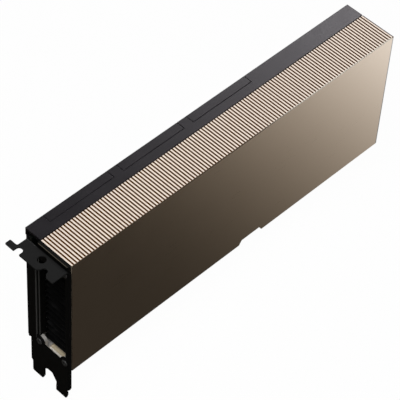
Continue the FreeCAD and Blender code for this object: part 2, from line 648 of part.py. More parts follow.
def memory_stacks():
    """The stacked memory on each side of the die."""
    offset = (DIE_LENGTH + STACK_LENGTH) / 2 + 0.6
    rows = range(STACK_ROWS)
    return [centred(STACK_LENGTH, STACK_WIDTH, INTERPOSER_FACE, DIE_FACE, PACKAGE_X + side * offset,
                    -PACKAGE_DROP + (row - (STACK_ROWS - 1) / 2) * STACK_PITCH)
            for side in (-1, 1) for row in rows]


def thermal_paste():
    """The paste between the package and the pedestal."""
    return centred(PEDESTAL_LENGTH, PEDESTAL_WIDTH, DIE_FACE, PASTE_FACE)


def power_places():
    """The centre of each choke, as (x, z), in a column on each side of the package."""
    middle = (CHOKE_ROWS - 1) / 2
    return [(x, -PACKAGE_DROP + (row - middle) * CHOKE_PITCH)
            for x in POWER_X for row in range(CHOKE_ROWS)]


def stage_x(x):
    """A power stage stands on the far side of its choke from the package."""
    return x + STAGE_STEP if x > PACKAGE_X else x - STAGE_STEP


def chokes():
    """The moulded chokes."""
    return [centred(CHOKE_SIZE, CHOKE_SIZE, BOARD_FACE, BOARD_FACE - CHOKE_WALL, x, z)
            for x, z in power_places()]


def power_stages():
    """The power stages, one for each choke."""
    return [centred(STAGE_LENGTH, STAGE_WIDTH, BOARD_FACE, BOARD_FACE - STAGE_WALL, stage_x(x), z)
            for x, z in power_places()]


def bulk_capacitors():
    """The input capacitors between the chokes and the power socket."""
    length, width, wall = CAPACITOR_SIZE
    middle = (CAPACITOR_COUNT - 1) / 2
    return [centred(length, width, BOARD_FACE, BOARD_FACE - wall, CAPACITOR_X,
                    -PACKAGE_DROP + (index - middle) * CAPACITOR_PITCH)
            for index in range(CAPACITOR_COUNT)]


def control_chips():
    """The management and memory chips."""
    return [centred(length, width, BOARD_FACE, BOARD_FACE - CHIP_WALL, x, -drop)
            for x, drop, length, width in CHIPS]


def pad_strip(x, size, near, far):
    """One long thermal pad over a column of parts."""
    length = (CHOKE_ROWS - 1) * CHOKE_PITCH + size
    return centred(size, length, near, far, x, -PACKAGE_DROP)


def stage_bar_face():
    """The face of the base's bars over the power stages."""
    return BOARD_FACE - STAGE_WALL - 0.8


def thermal_pads():
    """The pads that carry heat from the chokes and power stages to the base."""
    pads = [pad_strip(x, CHOKE_SIZE - 0.6, BOARD_FACE - CHOKE_WALL, BASE_BOARD_SIDE)
            for x in POWER_X]
    pads += [pad_strip(stage_x(x), STAGE_WIDTH - 0.4, BOARD_FACE - STAGE_WALL, stage_bar_face())
             for x in POWER_X]
    return pads


# ---- Heatsink ---------------------------------------------------------------------------------------
def socket_pocket(grow):
    """The room kept for the power socket at the tail."""
    room = SOCKET_ROOM + grow
    return block((CARD_LENGTH - SOCKET_POCKET, CARD_LENGTH + 1.0), (0, SOCKET_FAR - room),
                 (SOCKET_TOP + room, SOCKET_LOW - room))


def heatsink_base():
    """The base: pedestal on the package, bars on the power stages, posts at its screws, lugs."""
    xs = (HEAT_START, HEAT_END)
    plate = block(xs, (BASE_FIN_SIDE, BASE_BOARD_SIDE), (BASE_LOW, BASE_HIGH))
    pieces = [plate, centred(PEDESTAL_LENGTH, PEDESTAL_WIDTH, BASE_BOARD_SIDE, PASTE_FACE)]
    for x in POWER_X:
        pieces.append(pad_strip(stage_x(x), STAGE_WIDTH, BASE_BOARD_SIDE, stage_bar_face()))
    for x, z in heatsink_screw_places():
        pieces.append(post(vec(x, BOARD_FACE, z), vec(0, -1, 0), POST_RADIUS,
                           BOARD_FACE - BASE_BOARD_SIDE))
    for place in floor_screw_places():
        pieces.append(block((place.x - LUG_LENGTH / 2, place.x + LUG_LENGTH / 2),
                            (BASE_FIN_SIDE, BASE_BOARD_SIDE), (FLOOR_IN, BASE_LOW)))
    depth = HEATSINK_SHANK - SPRING_WALL - BOARD_WALL + HEATSINK_TIP
    holes = [post(vec(x, BOARD_FACE, z), vec(0, -1, 0), SHANK_RADIUS + THREAD_GAP, depth)
             for x, z in heatsink_screw_places()]
    base = joined(pieces).cut(Part.makeCompound(holes + [floor_screw_holes(), socket_pocket(0)]))
    return base.removeSplitter()


def fin_levels():
    """The underside of each fin, from the base's lower edge up."""
    levels = []
    z = BASE_LOW + FIN_END_ROOM
    while z + FIN_PITCH < BASE_HIGH:
        levels.append(z)
        z += FIN_PITCH
    return levels


def fin_stack():
    """The folded fins: each is a sheet with a foot on the base that spaces it from the next."""
    tips = FACE_IN + FIN_FACE_GAP
    rise = FIN_PITCH - FIN_FOOT_GAP
    fins = []
    pocket = socket_pocket(0)
    for index, z in enumerate(fin_levels()):
        xs = (HEAT_START + FIN_STAGGER * (index % 2), HEAT_END)
        sheet = block(xs, (BASE_FIN_SIDE, tips), (z, z + FIN_WALL))
        foot = block(xs, (BASE_FIN_SIDE, BASE_FIN_SIDE - FIN_WALL), (z, z + rise))
        fin = sheet.fuse(foot).removeSplitter()
        if z + rise > pocket.BoundBox.ZMin and z < pocket.BoundBox.ZMax:
            fin = fin.cut(pocket).removeSplitter()
        fins.append(fin)
    return fins


def leaf_spring():
    """The four-armed spring behind the board that pulls the heatsink onto the package."""
    half = SPRING_SQUARE / 2
    centre = (PACKAGE_X, -PACKAGE_DROP)
    back = BOARD_BACK + SPRING_WALL
    pieces = [centred(SPRING_HUB, SPRING_HUB, back, BOARD_BACK)]
    reach = half * 2 ** 0.5
    for turn in (45, 135):
        arm = block((-reach, reach), (back, BOARD_BACK), (-SPRING_ARM / 2, SPRING_ARM / 2))
        arm.rotate(vec(0, 0, 0), vec(0, 1, 0), turn)
        arm.translate(vec(centre[0], 0, centre[1]))
        pieces.append(arm)
    for x, z in heatsink_screw_places():
        pieces.append(post(vec(x, back, z), vec(0, -1, 0), SPRING_ARM / 2, SPRING_WALL))
    window = centred(SPRING_WINDOW, SPRING_WINDOW, 0, -BACK_ROOM)
    holes = [post(vec(x, 0, z), vec(0, -1, 0), SHANK_RADIUS + THREAD_GAP, BACK_ROOM)
             for x, z in heatsink_screw_places()]
    return joined(pieces).cut(Part.makeCompound(holes + [window])).removeSplitter()


def heatsink_screws():
    """The four low-headed screws through the leaf spring and the board."""
    seat = BOARD_BACK + SPRING_WALL
    return [pan_screw(vec(x, seat, z), vec(0, -1, 0), HEAD_RADIUS, HEAD_WALL, SHANK_RADIUS,
                      HEATSINK_SHANK) for x, z in heatsink_screw_places()]


# ---- Bracket ----------------------------------------------------------------------------------------
def plate_outline():
    """The plate's outline, as (y, z, radius), from its board-side upper corner down."""
    near = BOARD_FACE
    far = FACE_Y + SHEET + FLANGE_BEND
    bend = -TAB_DROP - SHEET - BEND
    tip = TONGUE_TIP_Z
    first = -STEP_TWO[1]
    second = first - SLOT_PITCH
    shoulder = PLATE_END
    root = shoulder + 0.6
    return [(near, bend, 0), (near, shoulder + STEP_ONE[0], 0),
            (-STEP_ONE[1], shoulder + STEP_ONE[0], 0), (-STEP_ONE[1], shoulder + STEP_TWO[0], 0),
            (first, shoulder + STEP_TWO[0] - 1.2, 0),
            (first, tip + 0.6, 0), (first - 1.0, tip, 0.5),
            (first - TONGUE_WIDTH + TONGUE_TIP, tip, 0.8),
            (first - TONGUE_WIDTH, tip + TONGUE_TIP * 2.4, 1.2),
            (first - TONGUE_WIDTH, root + ARCH_RISE * 0.5, 1.6),
            (first - TONGUE_WIDTH - 3.0, root + ARCH_RISE, 1.6),
            (second + 3.4, root + ARCH_RISE, 1.6), (second - 0.3, root - 1.0, 0.8),
            (second, shoulder - 4.0, 1.2), (second, tip, 0.6),
            (second - TONGUE_WIDTH + TONGUE_TIP, tip, 0.8),
            (second - TONGUE_WIDTH + 0.4, tip + TONGUE_TIP * 2.4, 1.2),
            (second - TONGUE_WIDTH + 0.4, shoulder - 1.6, 0), (far, shoulder - 1.6, 0),
            (far, bend, 0)]


def window_cut():
    """The air window's outline in the plate, with sheet left round the lower screws."""
    near = -WINDOW_SIDE
    far = COLLAR_FAR_IN
    window = rounded_face(rectangle((near, far), (-WINDOW_DROP, -WINDOW_TOP), 1.0),
                          on_x(PLATE_OUT - PAST)).extrude(vec(SHEET + 2 * PAST, 0, 0))
    drop = -BRACKET_SCREW_DROPS[1]
    for y in BRACKET_SCREW_YS:
        ear = rod(vec(PLATE_OUT - 2 * PAST, y, drop), vec(1, 0, 0), WINDOW_EAR, SHEET + 4 * PAST)
        side = near + PAST if y > (near + far) / 2 else far - PAST
        corner = block((PLATE_OUT - 2 * PAST, PLATE_IN + 2 * PAST), (y, side),
                       (drop + WINDOW_EAR, -WINDOW_DROP - PAST))
        window = window.cut(ear.fuse(corner))
    return window


def tab_outline():
    """The tab's outline, as (x, y, radius), with the ear and the two screw slots."""
    root = PLATE_OUT - BEND
    edge = PLATE_OUT - TAB_DEPTH
    ear = edge + EAR_WIDTH
    side = -TAB_SIDE
    far = FACE_Y
    half = SLOT_WIDTH / 2
    first = -SLOT_SIDE
    second = first - SLOT_PITCH
    end = SLOT_X + half
    mouth = edge + SLOT_FLARE
    return [(root, side, 0), (ear, side, EAR_FILLET), (ear, side + EAR_REACH, 0.6),
            (edge, side + EAR_REACH, 0.6), (edge, first + half, 0.5),
            (end, first + half, half * 0.98), (end, first - half, half * 0.98),
            (edge, first - half, 0.5),
            (edge, second + half + SLOT_FLARE, 0.6), (mouth, second + half, 0.6),
            (end, second + half, half * 0.98), (end, second - half, half * 0.98),
            (mouth, second - half, 0.6), (edge, second - half - SLOT_FLARE, 0.6),
            (edge, far, 0.6), (root, far, 0)]


def bracket():
    """The two-slot bracket, folded from one sheet: plate, tab, flange and two tongues."""
    plate = rounded_face(plate_outline(), on_x(PLATE_OUT)).extrude(vec(SHEET, 0, 0))
    tab = rounded_face(tab_outline(), on_z(TAB_UNDER)).extrude(vec(0, 0, SHEET))
    ends = (-TAB_SIDE, FACE_Y)
    centre = vec(PLATE_OUT - BEND, ends[1], TAB_UNDER - BEND)
    fold = folded(centre, vec(0, 0, 1), vec(1, 0, 0), vec(0, ends[0] - ends[1], 0))
    flange_top = -FLANGE_TOP
    flange_low = PLATE_END
    corner = vec(PLATE_IN + FLANGE_BEND, FACE_Y + SHEET + FLANGE_BEND, flange_low)
    flange_fold = folded(corner, vec(-1, 0, 0), vec(0, -1, 0), vec(0, 0, flange_top - flange_low))
    xs = (corner.x, PLATE_OUT + FLANGE_DEPTH)
    chamfer = FLANGE_DEPTH / 3
    flange = [(xs[0], flange_low, 0), (xs[1] - chamfer, flange_low, 0),
              (xs[1], flange_low + chamfer, 0), (xs[1], flange_top - chamfer, 0),
              (xs[1] - chamfer, flange_top, 0), (xs[0], flange_top, 0)]
    flange = rounded_face(flange, on_y(FACE_Y)).extrude(vec(0, SHEET, 0))
    sheet = joined([plate, tab, fold, flange_fold, flange])
    hole = rod(vec(PLATE_OUT - TAB_HOLE_OUT, -TAB_HOLE_SIDE, TAB_UNDER - PAST), vec(0, 0, 1),
               TAB_HOLE_RADIUS, SHEET + 2 * PAST)
    screws = [post(vec(PLATE_OUT - PAST, y, -drop), vec(1, 0, 0), SCREW_RADIUS + PLATE_HOLE_GAP,
                   SHEET + 2 * PAST) for y in BRACKET_SCREW_YS for drop in BRACKET_SCREW_DROPS]
    return sheet.cut(Part.makeCompound([hole, window_cut()] + screws)).removeSplitter()


def folded(centre, first, second, run):
    """A quarter-turn fold of the sheet about centre, from one direction to another, along run."""
    halfway = (first + second) / sqrt(2)
    inner = BEND if run.y else FLANGE_BEND
    outer = inner + SHEET
    edges = [Part.Arc(*[centre + way * outer for way in (first, halfway, second)]).toShape(),
             Part.makeLine(centre + second * outer, centre + second * inner),
             Part.Arc(*[centre + way * inner for way in (second, halfway, first)]).toShape(),
             Part.makeLine(centre + first * inner, centre + first * outer)]
    return Part.Face(Part.Wire(edges)).extrude(run)


def bracket_screws():
    """The screws through the plate: two into the collar and two into the threaded feet."""
    return [pan_screw(vec(PLATE_OUT, y, -drop), vec(1, 0, 0), BRACKET_HEAD_RADIUS,
                      BRACKET_HEAD_WALL, SCREW_RADIUS, BRACKET_SHANK)
            for y in BRACKET_SCREW_YS for drop in BRACKET_SCREW_DROPS]


# ---- Front collar and threaded feet ---------------------------------------------------------------------
def feet_top():
    """Where the collar's legs stop, just above the threaded feet."""
    return -BRACKET_SCREW_DROPS[1] + BOSS_RADIUS + 0.2


def screw_bores(drops):
    """The threaded holes for the bracket's screws at the given drops."""
    return [post(vec(PLATE_IN - PAST, y, -drop), vec(1, 0, 0), SCREW_RADIUS + THREAD_GAP,
                 PAST + BRACKET_SHANK - SHEET + BRACKET_HOLE_TIP)
            for y in BRACKET_SCREW_YS for drop in drops]


def front_collar():
    """The collar that joins the shroud's front opening to the bracket's window."""
    low = feet_top()
    inner = rectangle((COLLAR_NEAR_IN, COLLAR_FAR_IN), (low - PAST, -WINDOW_TOP))
    chamfer = FLANGE_BEND + COLLAR_FIT / 2
    section = [(-COLLAR_SIDE, PLATE_IN, 0), (-COLLAR_SIDE, 0, 0), (COLLAR_FAR, 0, 0),
               (COLLAR_FAR, PLATE_IN + chamfer, 0), (COLLAR_FAR + chamfer, PLATE_IN, 0)]
    rim = rounded_face(section, lambda y, x: vec(x, y, low)).extrude(vec(0, 0, -COLLAR_TOP - low))
    near = -RAIL_DEPTH - COLLAR_FIT
    far = FACE_IN + COLLAR_FIT
    high = -TOP_WALL - COLLAR_FIT
    neck = rounded_face([(near, low, 0), (far, low, 0), (far, high, INNER_CORNER),
                         (near, high, 0)], on_x(0)).extrude(vec(COLLAR_NECK, 0, 0))
    opening = rounded_face(inner, on_x(PLATE_IN - PAST))
    opening = opening.extrude(vec(COLLAR_NECK - PLATE_IN + 2 * PAST, 0, 0))
    corner = block((PLATE_IN - PAST, 0), (PAST - COLLAR_SIDE, -RAIL_DEPTH), (PAST, -COLLAR_STEP))
    collar = joined([rim, neck]).cut(opening).cut(corner)
    return collar.cut(Part.makeCompound(screw_bores(BRACKET_SCREW_DROPS[:1]))).removeSplitter()


def threaded_feet():
    """The two metal feet on the lower wall that take the bracket's lower screws."""
    drop = -BRACKET_SCREW_DROPS[1]
    feet = []
    for y in BRACKET_SCREW_YS:
        ys = (max(y - BOSS_RADIUS, COLLAR_FAR), y + BOSS_RADIUS)
        upright = [rod(vec(PLATE_IN, y, drop), vec(1, 0, 0), BOSS_RADIUS, -PLATE_IN)]
        upright.append(block((PLATE_IN, 0), ys, (FLOOR_IN, drop)))
        inside = (max(ys[0], FACE_IN + INNER_CORNER), ys[1])
        upright.append(block((-0.5, FOOT_LENGTH), inside, (FLOOR_IN, FLOOR_IN + FOOT_WALL)))
        foot = joined(upright)
        chamfer = FLANGE_BEND + COLLAR_FIT / 2
        room = [(0, PLATE_IN, 0), (0, FOOT_LENGTH, 0), (COLLAR_FAR, FOOT_LENGTH, 0),
                (COLLAR_FAR, PLATE_IN + chamfer, 0), (COLLAR_FAR + chamfer, PLATE_IN, 0)]
        room = rounded_face(room, lambda y, x: vec(x, y, FLOOR_IN)).extrude(vec(0, 0, -FLOOR_IN))
        foot = foot.common(room)
        feet.append(foot.cut(Part.makeCompound(screw_bores(BRACKET_SCREW_DROPS[1:]))))
    return feet


# ---- Tail frame and power socket -------------------------------------------------------------------------
def tail_frame():
    """The frame that closes the tail round the air opening and the power socket."""
    near = BOARD_FACE - TAIL_FIT
    far = FACE_IN + TAIL_FIT
    rail_low = BASE_HIGH
    high = -TOP_WALL - TAIL_FIT
    low = FLOOR_IN + TAIL_FIT
    start = CARD_LENGTH - TAIL_WALL
    divide = -RAIL_DEPTH
    outline = [(far, low, 0.8), (near, low, 0), (near, rail_low, 0), (divide, rail_low, 0),
               (divide, high, 0), (far, high, 0.8)]
    plate = rounded_face(outline, on_x(start)).extrude(vec(TAIL_WALL, 0, 0))
    air = ((divide - AIR_INSET, far + AIR_INSET), (low + AIR_INSET, high - AIR_INSET))
    outer = [(pair[0] - TAIL_LIP_WALL * (-1 if i == 0 else 1), pair[1] + TAIL_LIP_WALL
              * (-1 if i == 0 else 1)) for i, pair in enumerate(air)]
    lip = block((start - TAIL_LIP, start), outer[0], outer[1])
    bosses = [post(vec(CARD_LENGTH - INSERT_LENGTH, -INSERT_SIDE, -drop), vec(1, 0, 0),
                   INSERT_BOSS, INSERT_LENGTH) for drop in INSERT_DROPS]
    keep = block((0, CARD_LENGTH), (near, far), (low, -RAIL_WALL))
    frame = joined([plate, lip] + [boss.common(keep) for boss in bosses])
    opening = rounded_face(rectangle(air[0], air[1], AIR_CORNER), on_x(start - TAIL_LIP - PAST))
    opening = opening.extrude(vec(TAIL_LIP + TAIL_WALL + 2 * PAST, 0, 0))
    guard = block((0, CARD_LENGTH + PAST), (0, SOCKET_FAR - SOCKET_ROOM),
                  (SOCKET_TOP + SOCKET_ROOM, SOCKET_LOW - SOCKET_ROOM))
    holes = [post(vec(0, -INSERT_SIDE, -drop), vec(1, 0, 0), INSERT_RADIUS, CARD_LENGTH + PAST)
             for drop in INSERT_DROPS]
    return frame.cut(Part.makeCompound([opening, guard] + holes)).removeSplitter()


def tail_inserts():
    """The threaded inserts in the tail frame for a chassis extender."""
    inserts = []
    for drop in INSERT_DROPS:
        start = vec(CARD_LENGTH - INSERT_LENGTH, -INSERT_SIDE, -drop)
        insert = post(start, vec(1, 0, 0), INSERT_RADIUS, INSERT_LENGTH)
        inserts.append(insert.cut(rod(start - vec(PAST, 0, 0), vec(1, 0, 0), INSERT_HOLE,
                                      INSERT_LENGTH + 2 * PAST)))
    return inserts


def cell_places():
    """The centre of each socket cell, as (y, z)."""
    middle_y = (SOCKET_NEAR + SOCKET_FAR) / 2
    return [(middle_y + (row - 0.5) * CELL_PITCH, -SOCKET_DROP + (column - 1.5) * CELL_PITCH)
            for row in range(2) for column in range(4)]


def power_socket():
    """The eight-way power socket: a block with a cell for each pin and a catch bar."""
    end = SOCKET_START + SOCKET_DEPTH
    body = block((SOCKET_START, end), (SOCKET_NEAR, SOCKET_FAR), (SOCKET_LOW, SOCKET_TOP))
    along = [edge for edge in body.Edges if edge.BoundBox.XLength > SOCKET_DEPTH / 2]
    body = body.makeChamfer(SOCKET_EDGE, along)
    foot = block((SOCKET_START, end - 3.0), (SOCKET_NEAR, BOARD_FACE),
                 (SOCKET_LOW + 1.5, SOCKET_TOP - 1.5))
    width, height, length = LATCH_BAR
    bar = block((end - length - 2.0, end - 2.0), (SOCKET_FAR, SOCKET_FAR - height / 1.3),
                (-SOCKET_DROP - width / 2, -SOCKET_DROP + width / 2))
    cells = []
    for index, (y, z) in enumerate(cell_places()):
        half = CELL_SIZE / 2
        corner = CELL_CORNER if index % 2 else 0
        outline = [(y - half, z - half, corner), (y + half, z - half, 0), (y + half, z + half, 0),
                   (y - half, z + half, corner)]
        cell = rounded_face(outline, on_x(end - CELL_DEPTH)).extrude(vec(CELL_DEPTH + 1, 0, 0))
        cells.append(cell)
    return joined([body, foot, bar]).cut(Part.makeCompound(cells)).removeSplitter()


def power_pins():
    """The pins, each standing on the floor of its cell."""
    floor = SOCKET_START + SOCKET_DEPTH - CELL_DEPTH
    half = PIN_SIZE / 2
    pins = []
    for y, z in cell_places():
        pin = block((floor, floor + PIN_REACH), (y - half, y + half), (z - half, z + half))
        tip = [edge for edge in pin.Edges if edge.BoundBox.XMin > floor + PIN_REACH - 1e-6]
        pins.append(pin.makeChamfer(0.3, tip))
    return pins


# ---- Writing the pieces -------------------------------------------------------------------------------
def save(name, shape):
    """Write one node, moved so that the origin is on the bracket's seat."""
    solid = Part.makeCompound(shape) if isinstance(shape, list) else shape
    placed = solid.copy()
    placed.translate(-SEAT)
    placed.exportStep("parts/" + name + ".step")


def main():
    """Build every node and write it."""
    os.makedirs("parts", exist_ok=True)
    nodes = {
        "shroud": shroud, "shroud_screws": shroud_screws, "top_rail": top_rail,
        "back_cover": back_cover, "insulating_film": insulating_film,
        "cover_screws": cover_screws, "board_standoffs": board_standoffs,
        "circuit_board": circuit_board, "edge_contacts": edge_contacts,
        "package_substrate": package_substrate, "package_stiffener": package_stiffener,
        "interposer": interposer, "processor_die": processor_die,
        "memory_stacks": memory_stacks, "thermal_paste": thermal_paste, "chokes": chokes,
        "power_stages": power_stages, "bulk_capacitors": bulk_capacitors,
        "control_chips": control_chips, "thermal_pads": thermal_pads,
        "heatsink_base": heatsink_base, "fin_stack": fin_stack, "leaf_spring": leaf_spring,
        "heatsink_screws": heatsink_screws, "bracket": bracket,
        "bracket_screws": bracket_screws, "front_collar": front_collar,
        "threaded_feet": threaded_feet, "tail_frame": tail_frame,
        "tail_inserts": tail_inserts, "power_socket": power_socket, "power_pins": power_pins,
    }
    for name, build in nodes.items():
        save(name, build())
    for index, start in enumerate(cap_starts()):
        save("bridge_cap_" + str(index + 1), bridge_cap(start))


main()
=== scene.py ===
"""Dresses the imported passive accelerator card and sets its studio.

The card is built in metres in the row frame: +X from the bracket to the tail, +Y from the shroud's
face to the back cover, +Z up. Each class below is one sub-assembly or one finish, and main() builds
them in order.
"""

import json
import logging
import math
from collections.abc import Callable, Sequence
from dataclasses import dataclass, field
from enum import Enum

import bmesh
import bpy
from bpy.types import Material, NodeSocket, Object
from mathutils import Matrix, Vector

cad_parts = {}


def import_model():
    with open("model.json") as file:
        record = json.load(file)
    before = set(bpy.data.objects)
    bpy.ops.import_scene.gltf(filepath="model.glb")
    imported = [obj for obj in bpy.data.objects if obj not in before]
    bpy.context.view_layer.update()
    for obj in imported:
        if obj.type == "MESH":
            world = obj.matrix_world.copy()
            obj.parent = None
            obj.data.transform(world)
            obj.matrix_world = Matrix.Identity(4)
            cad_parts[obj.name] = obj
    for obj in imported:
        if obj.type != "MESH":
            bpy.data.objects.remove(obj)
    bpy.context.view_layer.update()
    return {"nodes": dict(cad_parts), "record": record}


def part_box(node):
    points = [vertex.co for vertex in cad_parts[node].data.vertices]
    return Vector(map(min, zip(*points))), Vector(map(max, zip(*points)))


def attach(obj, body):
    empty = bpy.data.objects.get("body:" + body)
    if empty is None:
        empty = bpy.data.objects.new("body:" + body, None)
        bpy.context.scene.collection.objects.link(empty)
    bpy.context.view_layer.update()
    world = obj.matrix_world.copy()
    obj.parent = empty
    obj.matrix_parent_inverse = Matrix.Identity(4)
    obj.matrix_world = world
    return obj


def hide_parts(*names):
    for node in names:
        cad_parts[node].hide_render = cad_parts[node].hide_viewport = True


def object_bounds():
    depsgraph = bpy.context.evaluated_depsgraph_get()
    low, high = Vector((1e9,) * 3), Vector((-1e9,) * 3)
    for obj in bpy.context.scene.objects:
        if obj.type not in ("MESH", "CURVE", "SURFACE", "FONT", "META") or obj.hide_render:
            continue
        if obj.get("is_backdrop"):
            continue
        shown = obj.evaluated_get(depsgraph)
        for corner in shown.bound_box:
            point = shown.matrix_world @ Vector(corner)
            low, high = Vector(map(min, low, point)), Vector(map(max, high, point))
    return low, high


LOG = logging.getLogger("card")
MM = 0.001
# The depth of the grooves, their distance from the rail, and the land between them and the face.
RIB_DEPTH = 1.2 * MM
RIB_STEP = 0.55 * MM
RIM_LAND = 0.47 * MM
WELD = 0.002 * MM
# Angles are in degrees. END_TURN is the cosine past which a face counts as an end face.
FLAT_ANGLE = 0.4
SHARP_ANGLE = 32.0
SMOOTH_ANGLE = 38.0
END_TURN = 0.9
BODY = "root"

Triple = tuple[float, float, float]
Colour = Triple
Span = tuple[float, float]
Corners = tuple[Span, Span, Span]
Box = tuple[Vector, Vector]
FaceTest = Callable[[Vector, Vector], bool]


class Axis(Enum):
    """The row frame's directions that a screw can point along, from its head to its tip."""

    TAIL = (1.0, 0.0, 0.0)
    FACE = (0.0, -1.0, 0.0)
    UP = (0.0, 0.0, 1.0)

    @property
    def vector(self) -> Vector:
        """The direction as a vector."""
        return Vector(self.value)


# -------- shader building


class Value:
    """A socket that gives a number, used in plain arithmetic that adds Math nodes."""

    def __init__(self, graph: "Graph", socket: NodeSocket) -> None:
        """Wraps an output socket of a graph."""
        self.graph = graph
        self.socket = socket

    def _math(self, operation: str, *terms: "Value | float") -> "Value":
        """Adds one Math node, with the terms as its inputs in order."""
        return self.graph.add("ShaderNodeMath", {"operation": operation}, dict(enumerate(terms)))

    def __add__(self, other: "Value | float") -> "Value":
        """Self plus other."""
        return self._math("ADD", self, other)

    __radd__ = __add__

    def __sub__(self, other: "Value | float") -> "Value":
        """Self minus other."""
        return self._math("SUBTRACT", self, other)

    def __rsub__(self, other: float) -> "Value":
        """Other minus self."""
        return self._math("SUBTRACT", other, self)

    def __mul__(self, other: "Value | float") -> "Value":
        """Self times other."""
        return self._math("MULTIPLY", self, other)

    __rmul__ = __mul__

    def __truediv__(self, other: "Value | float") -> "Value":
        """Self over other."""
        return self._math("DIVIDE", self, other)

    def __pow__(self, other: float) -> "Value":
        """Self to a power."""
        return self._math("POWER", self, other)

    def above(self, limit: float) -> "Value":
        """1 where self is greater than the limit, else 0."""
        return self._math("GREATER_THAN", self, limit)

    def below(self, limit: float) -> "Value":
        """1 where self is less than the limit, else 0."""
        return self._math("LESS_THAN", self, limit)

    def absolute(self) -> "Value":
        """Self without its sign."""
        return self._math("ABSOLUTE", self)

    def least(self, other: "Value | float") -> "Value":
        """The smaller of self and other."""
        return self._math("MINIMUM", self, other)

    def greatest(self, other: "Value | float") -> "Value":
        """The larger of self and other."""
        return self._math("MAXIMUM", self, other)

    def wrapped(self, period: float) -> "Value":
        """Self as a saw tooth from 0 to the period."""
        return self._math("WRAP", self, period, 0.0)

    def ramp(self, start: float, end: float, low: float = 0.0, high: float = 1.0) -> "Value":
        """Self carried smoothly from one range to another.

        Args:
            start: the value of self that gives low.
            end: the value of self that gives high.
            low: the result at start and before it.
            high: the result at end and past it.

        Returns:
            The carried value.
        """
        return self.graph.add("ShaderNodeMapRange", {"interpolation_type": "SMOOTHSTEP"},
                              {"Value": self, "From Min": start, "From Max": end,
                               "To Min": low, "To Max": high})


class Graph:
    """The node tree of one material or of the world."""

    def __init__(self, name: str, world: bool = False) -> None:
        """Starts an empty material or world.

        Args:
            name: its name.
            world: whether it is a world.
        """
        self.owner = (bpy.data.worlds if world else bpy.data.materials).new(name)
        self.end = "ShaderNodeOutputWorld" if world else "ShaderNodeOutputMaterial"
        self.owner.use_nodes = True
        self.tree = self.owner.node_tree
        self.tree.nodes.clear()

    def add(self, kind: str, settings: dict[str, object], inputs: dict[int | str, object],
            output: int | str = 0) -> Value:
        """Adds a node.

        Args:
            kind: the node's type.
            settings: its settings, which are set before its sockets.
            inputs: what each input socket gets: a Value to link, or a constant.
            output: the output socket that is wanted.

        Returns:
            That output.
        """
        node = self.tree.nodes.new(kind)
        for name, setting in settings.items():
            setattr(node, name, setting)
        for key, given in inputs.items():
            if isinstance(given, Value):
                self.tree.links.new(given.socket, node.inputs[key])
            else:
                node.inputs[key].default_value = given
        return Value(self, node.outputs[output])

    def place(self) -> Value:
        """The point in the row frame."""
        return self.add("ShaderNodeTexCoord", {}, {}, "Object")

    def axes(self) -> tuple[Value, Value, Value]:
        """Takes the point apart.

        Returns:
            Its x, y and z in metres.
        """
        parts = self.add("ShaderNodeSeparateXYZ", {}, {0: self.place()})
        node = parts.socket.node
        return parts, Value(self, node.outputs[1]), Value(self, node.outputs[2])

    def inside(self, corners: Corners) -> Value:
        """Tells a box's inside.

        Args:
            corners: the box's lowest and highest x, then y, then z, in millimetres.

        Returns:
            1 inside the box, else 0.
        """
        share: Value | float = 1.0
        for value, (low, high) in zip(self.axes(), corners):
            share = value.above(low * MM) * value.below(high * MM) * share
        return share

    def stretched(self, scale: Triple) -> Value:
        """The point with each axis scaled, for a pattern longer one way than another."""
        return self.add("ShaderNodeMapping", {}, {"Vector": self.place(), "Scale": scale})

    def noise(self, scale: float, detail: float = 2.0, vector: Value | None = None,
              roughness: float = 0.5) -> Value:
        """Soft noise from 0 to 1.

        Args:
            scale: features per metre.
            detail: octaves.
            vector: where it is read, or the plain point.
            roughness: how strong the finer octaves are.

        Returns:
            The noise's value.
        """
        where = vector or self.place()
        return self.add("ShaderNodeTexNoise", {}, {"Vector": where, "Scale": scale,
                                                   "Detail": detail, "Roughness": roughness})

    def cells(self, scale: float) -> Value:
        """The distance to the middle of the nearest Voronoi cell, with so many cells per metre."""
        return self.add("ShaderNodeTexVoronoi", {}, {"Vector": self.place(), "Scale": scale},
                        "Distance")

    def blend(self, amount: Value | float, first: Colour | Value, second: Colour | Value) -> Value:
        """Mixes two colours.

        Args:
            amount: 0 for the first, 1 for the second.
            first: a colour.
            second: a colour.

        Returns:
            The mixed colour.
        """
        ends = [c if isinstance(c, Value) else (*c, 1.0) for c in (first, second)]
        return self.add("ShaderNodeMix", {"data_type": "RGBA"},
                        {0: amount, 6: ends[0], 7: ends[1]}, 2)

    def bump(self, height: Value, distance: float) -> Value:
        """A normal from a height, where a height of 1 stands for a distance in metres."""
        return self.add("ShaderNodeBump", {}, {"Height": height, "Distance": distance})

    def surface(self, colour: Value, roughness: Value, metallic: float | Value, normal: Value,
                **constants: float | tuple[float, ...]) -> Material:
        """Ends the material with a Principled shader.

        Args:
            colour: base colour.
            roughness: roughness.
            metallic: metallic.
            normal: the bumped normal.
            constants: the shader's other sockets, with underscores for the spaces in their names.

        Returns:
            The material.
        """
        inputs = {"Base Color": colour, "Roughness": roughness, "Metallic": metallic,
                  "Normal": normal}
        inputs.update({name.replace("_", " "): number for name, number in constants.items()})
        self.add_output(self.add("ShaderNodeBsdfPrincipled", {}, inputs))
        return self.owner

    def add_output(self, shader: Value) -> None:
        """Links a shader to the surface of the material or world."""
        end = self.tree.nodes.new(self.end)
        self.tree.links.new(shader.socket, end.inputs["Surface"])


# -------- finishes


@dataclass(frozen=True)
class Finish:
    """What every finish has: the name of the record's slot and its main colour."""

    slot: str
    colour: Colour

    def build(self) -> Material:
        """Makes the material."""
        raise NotImplementedError


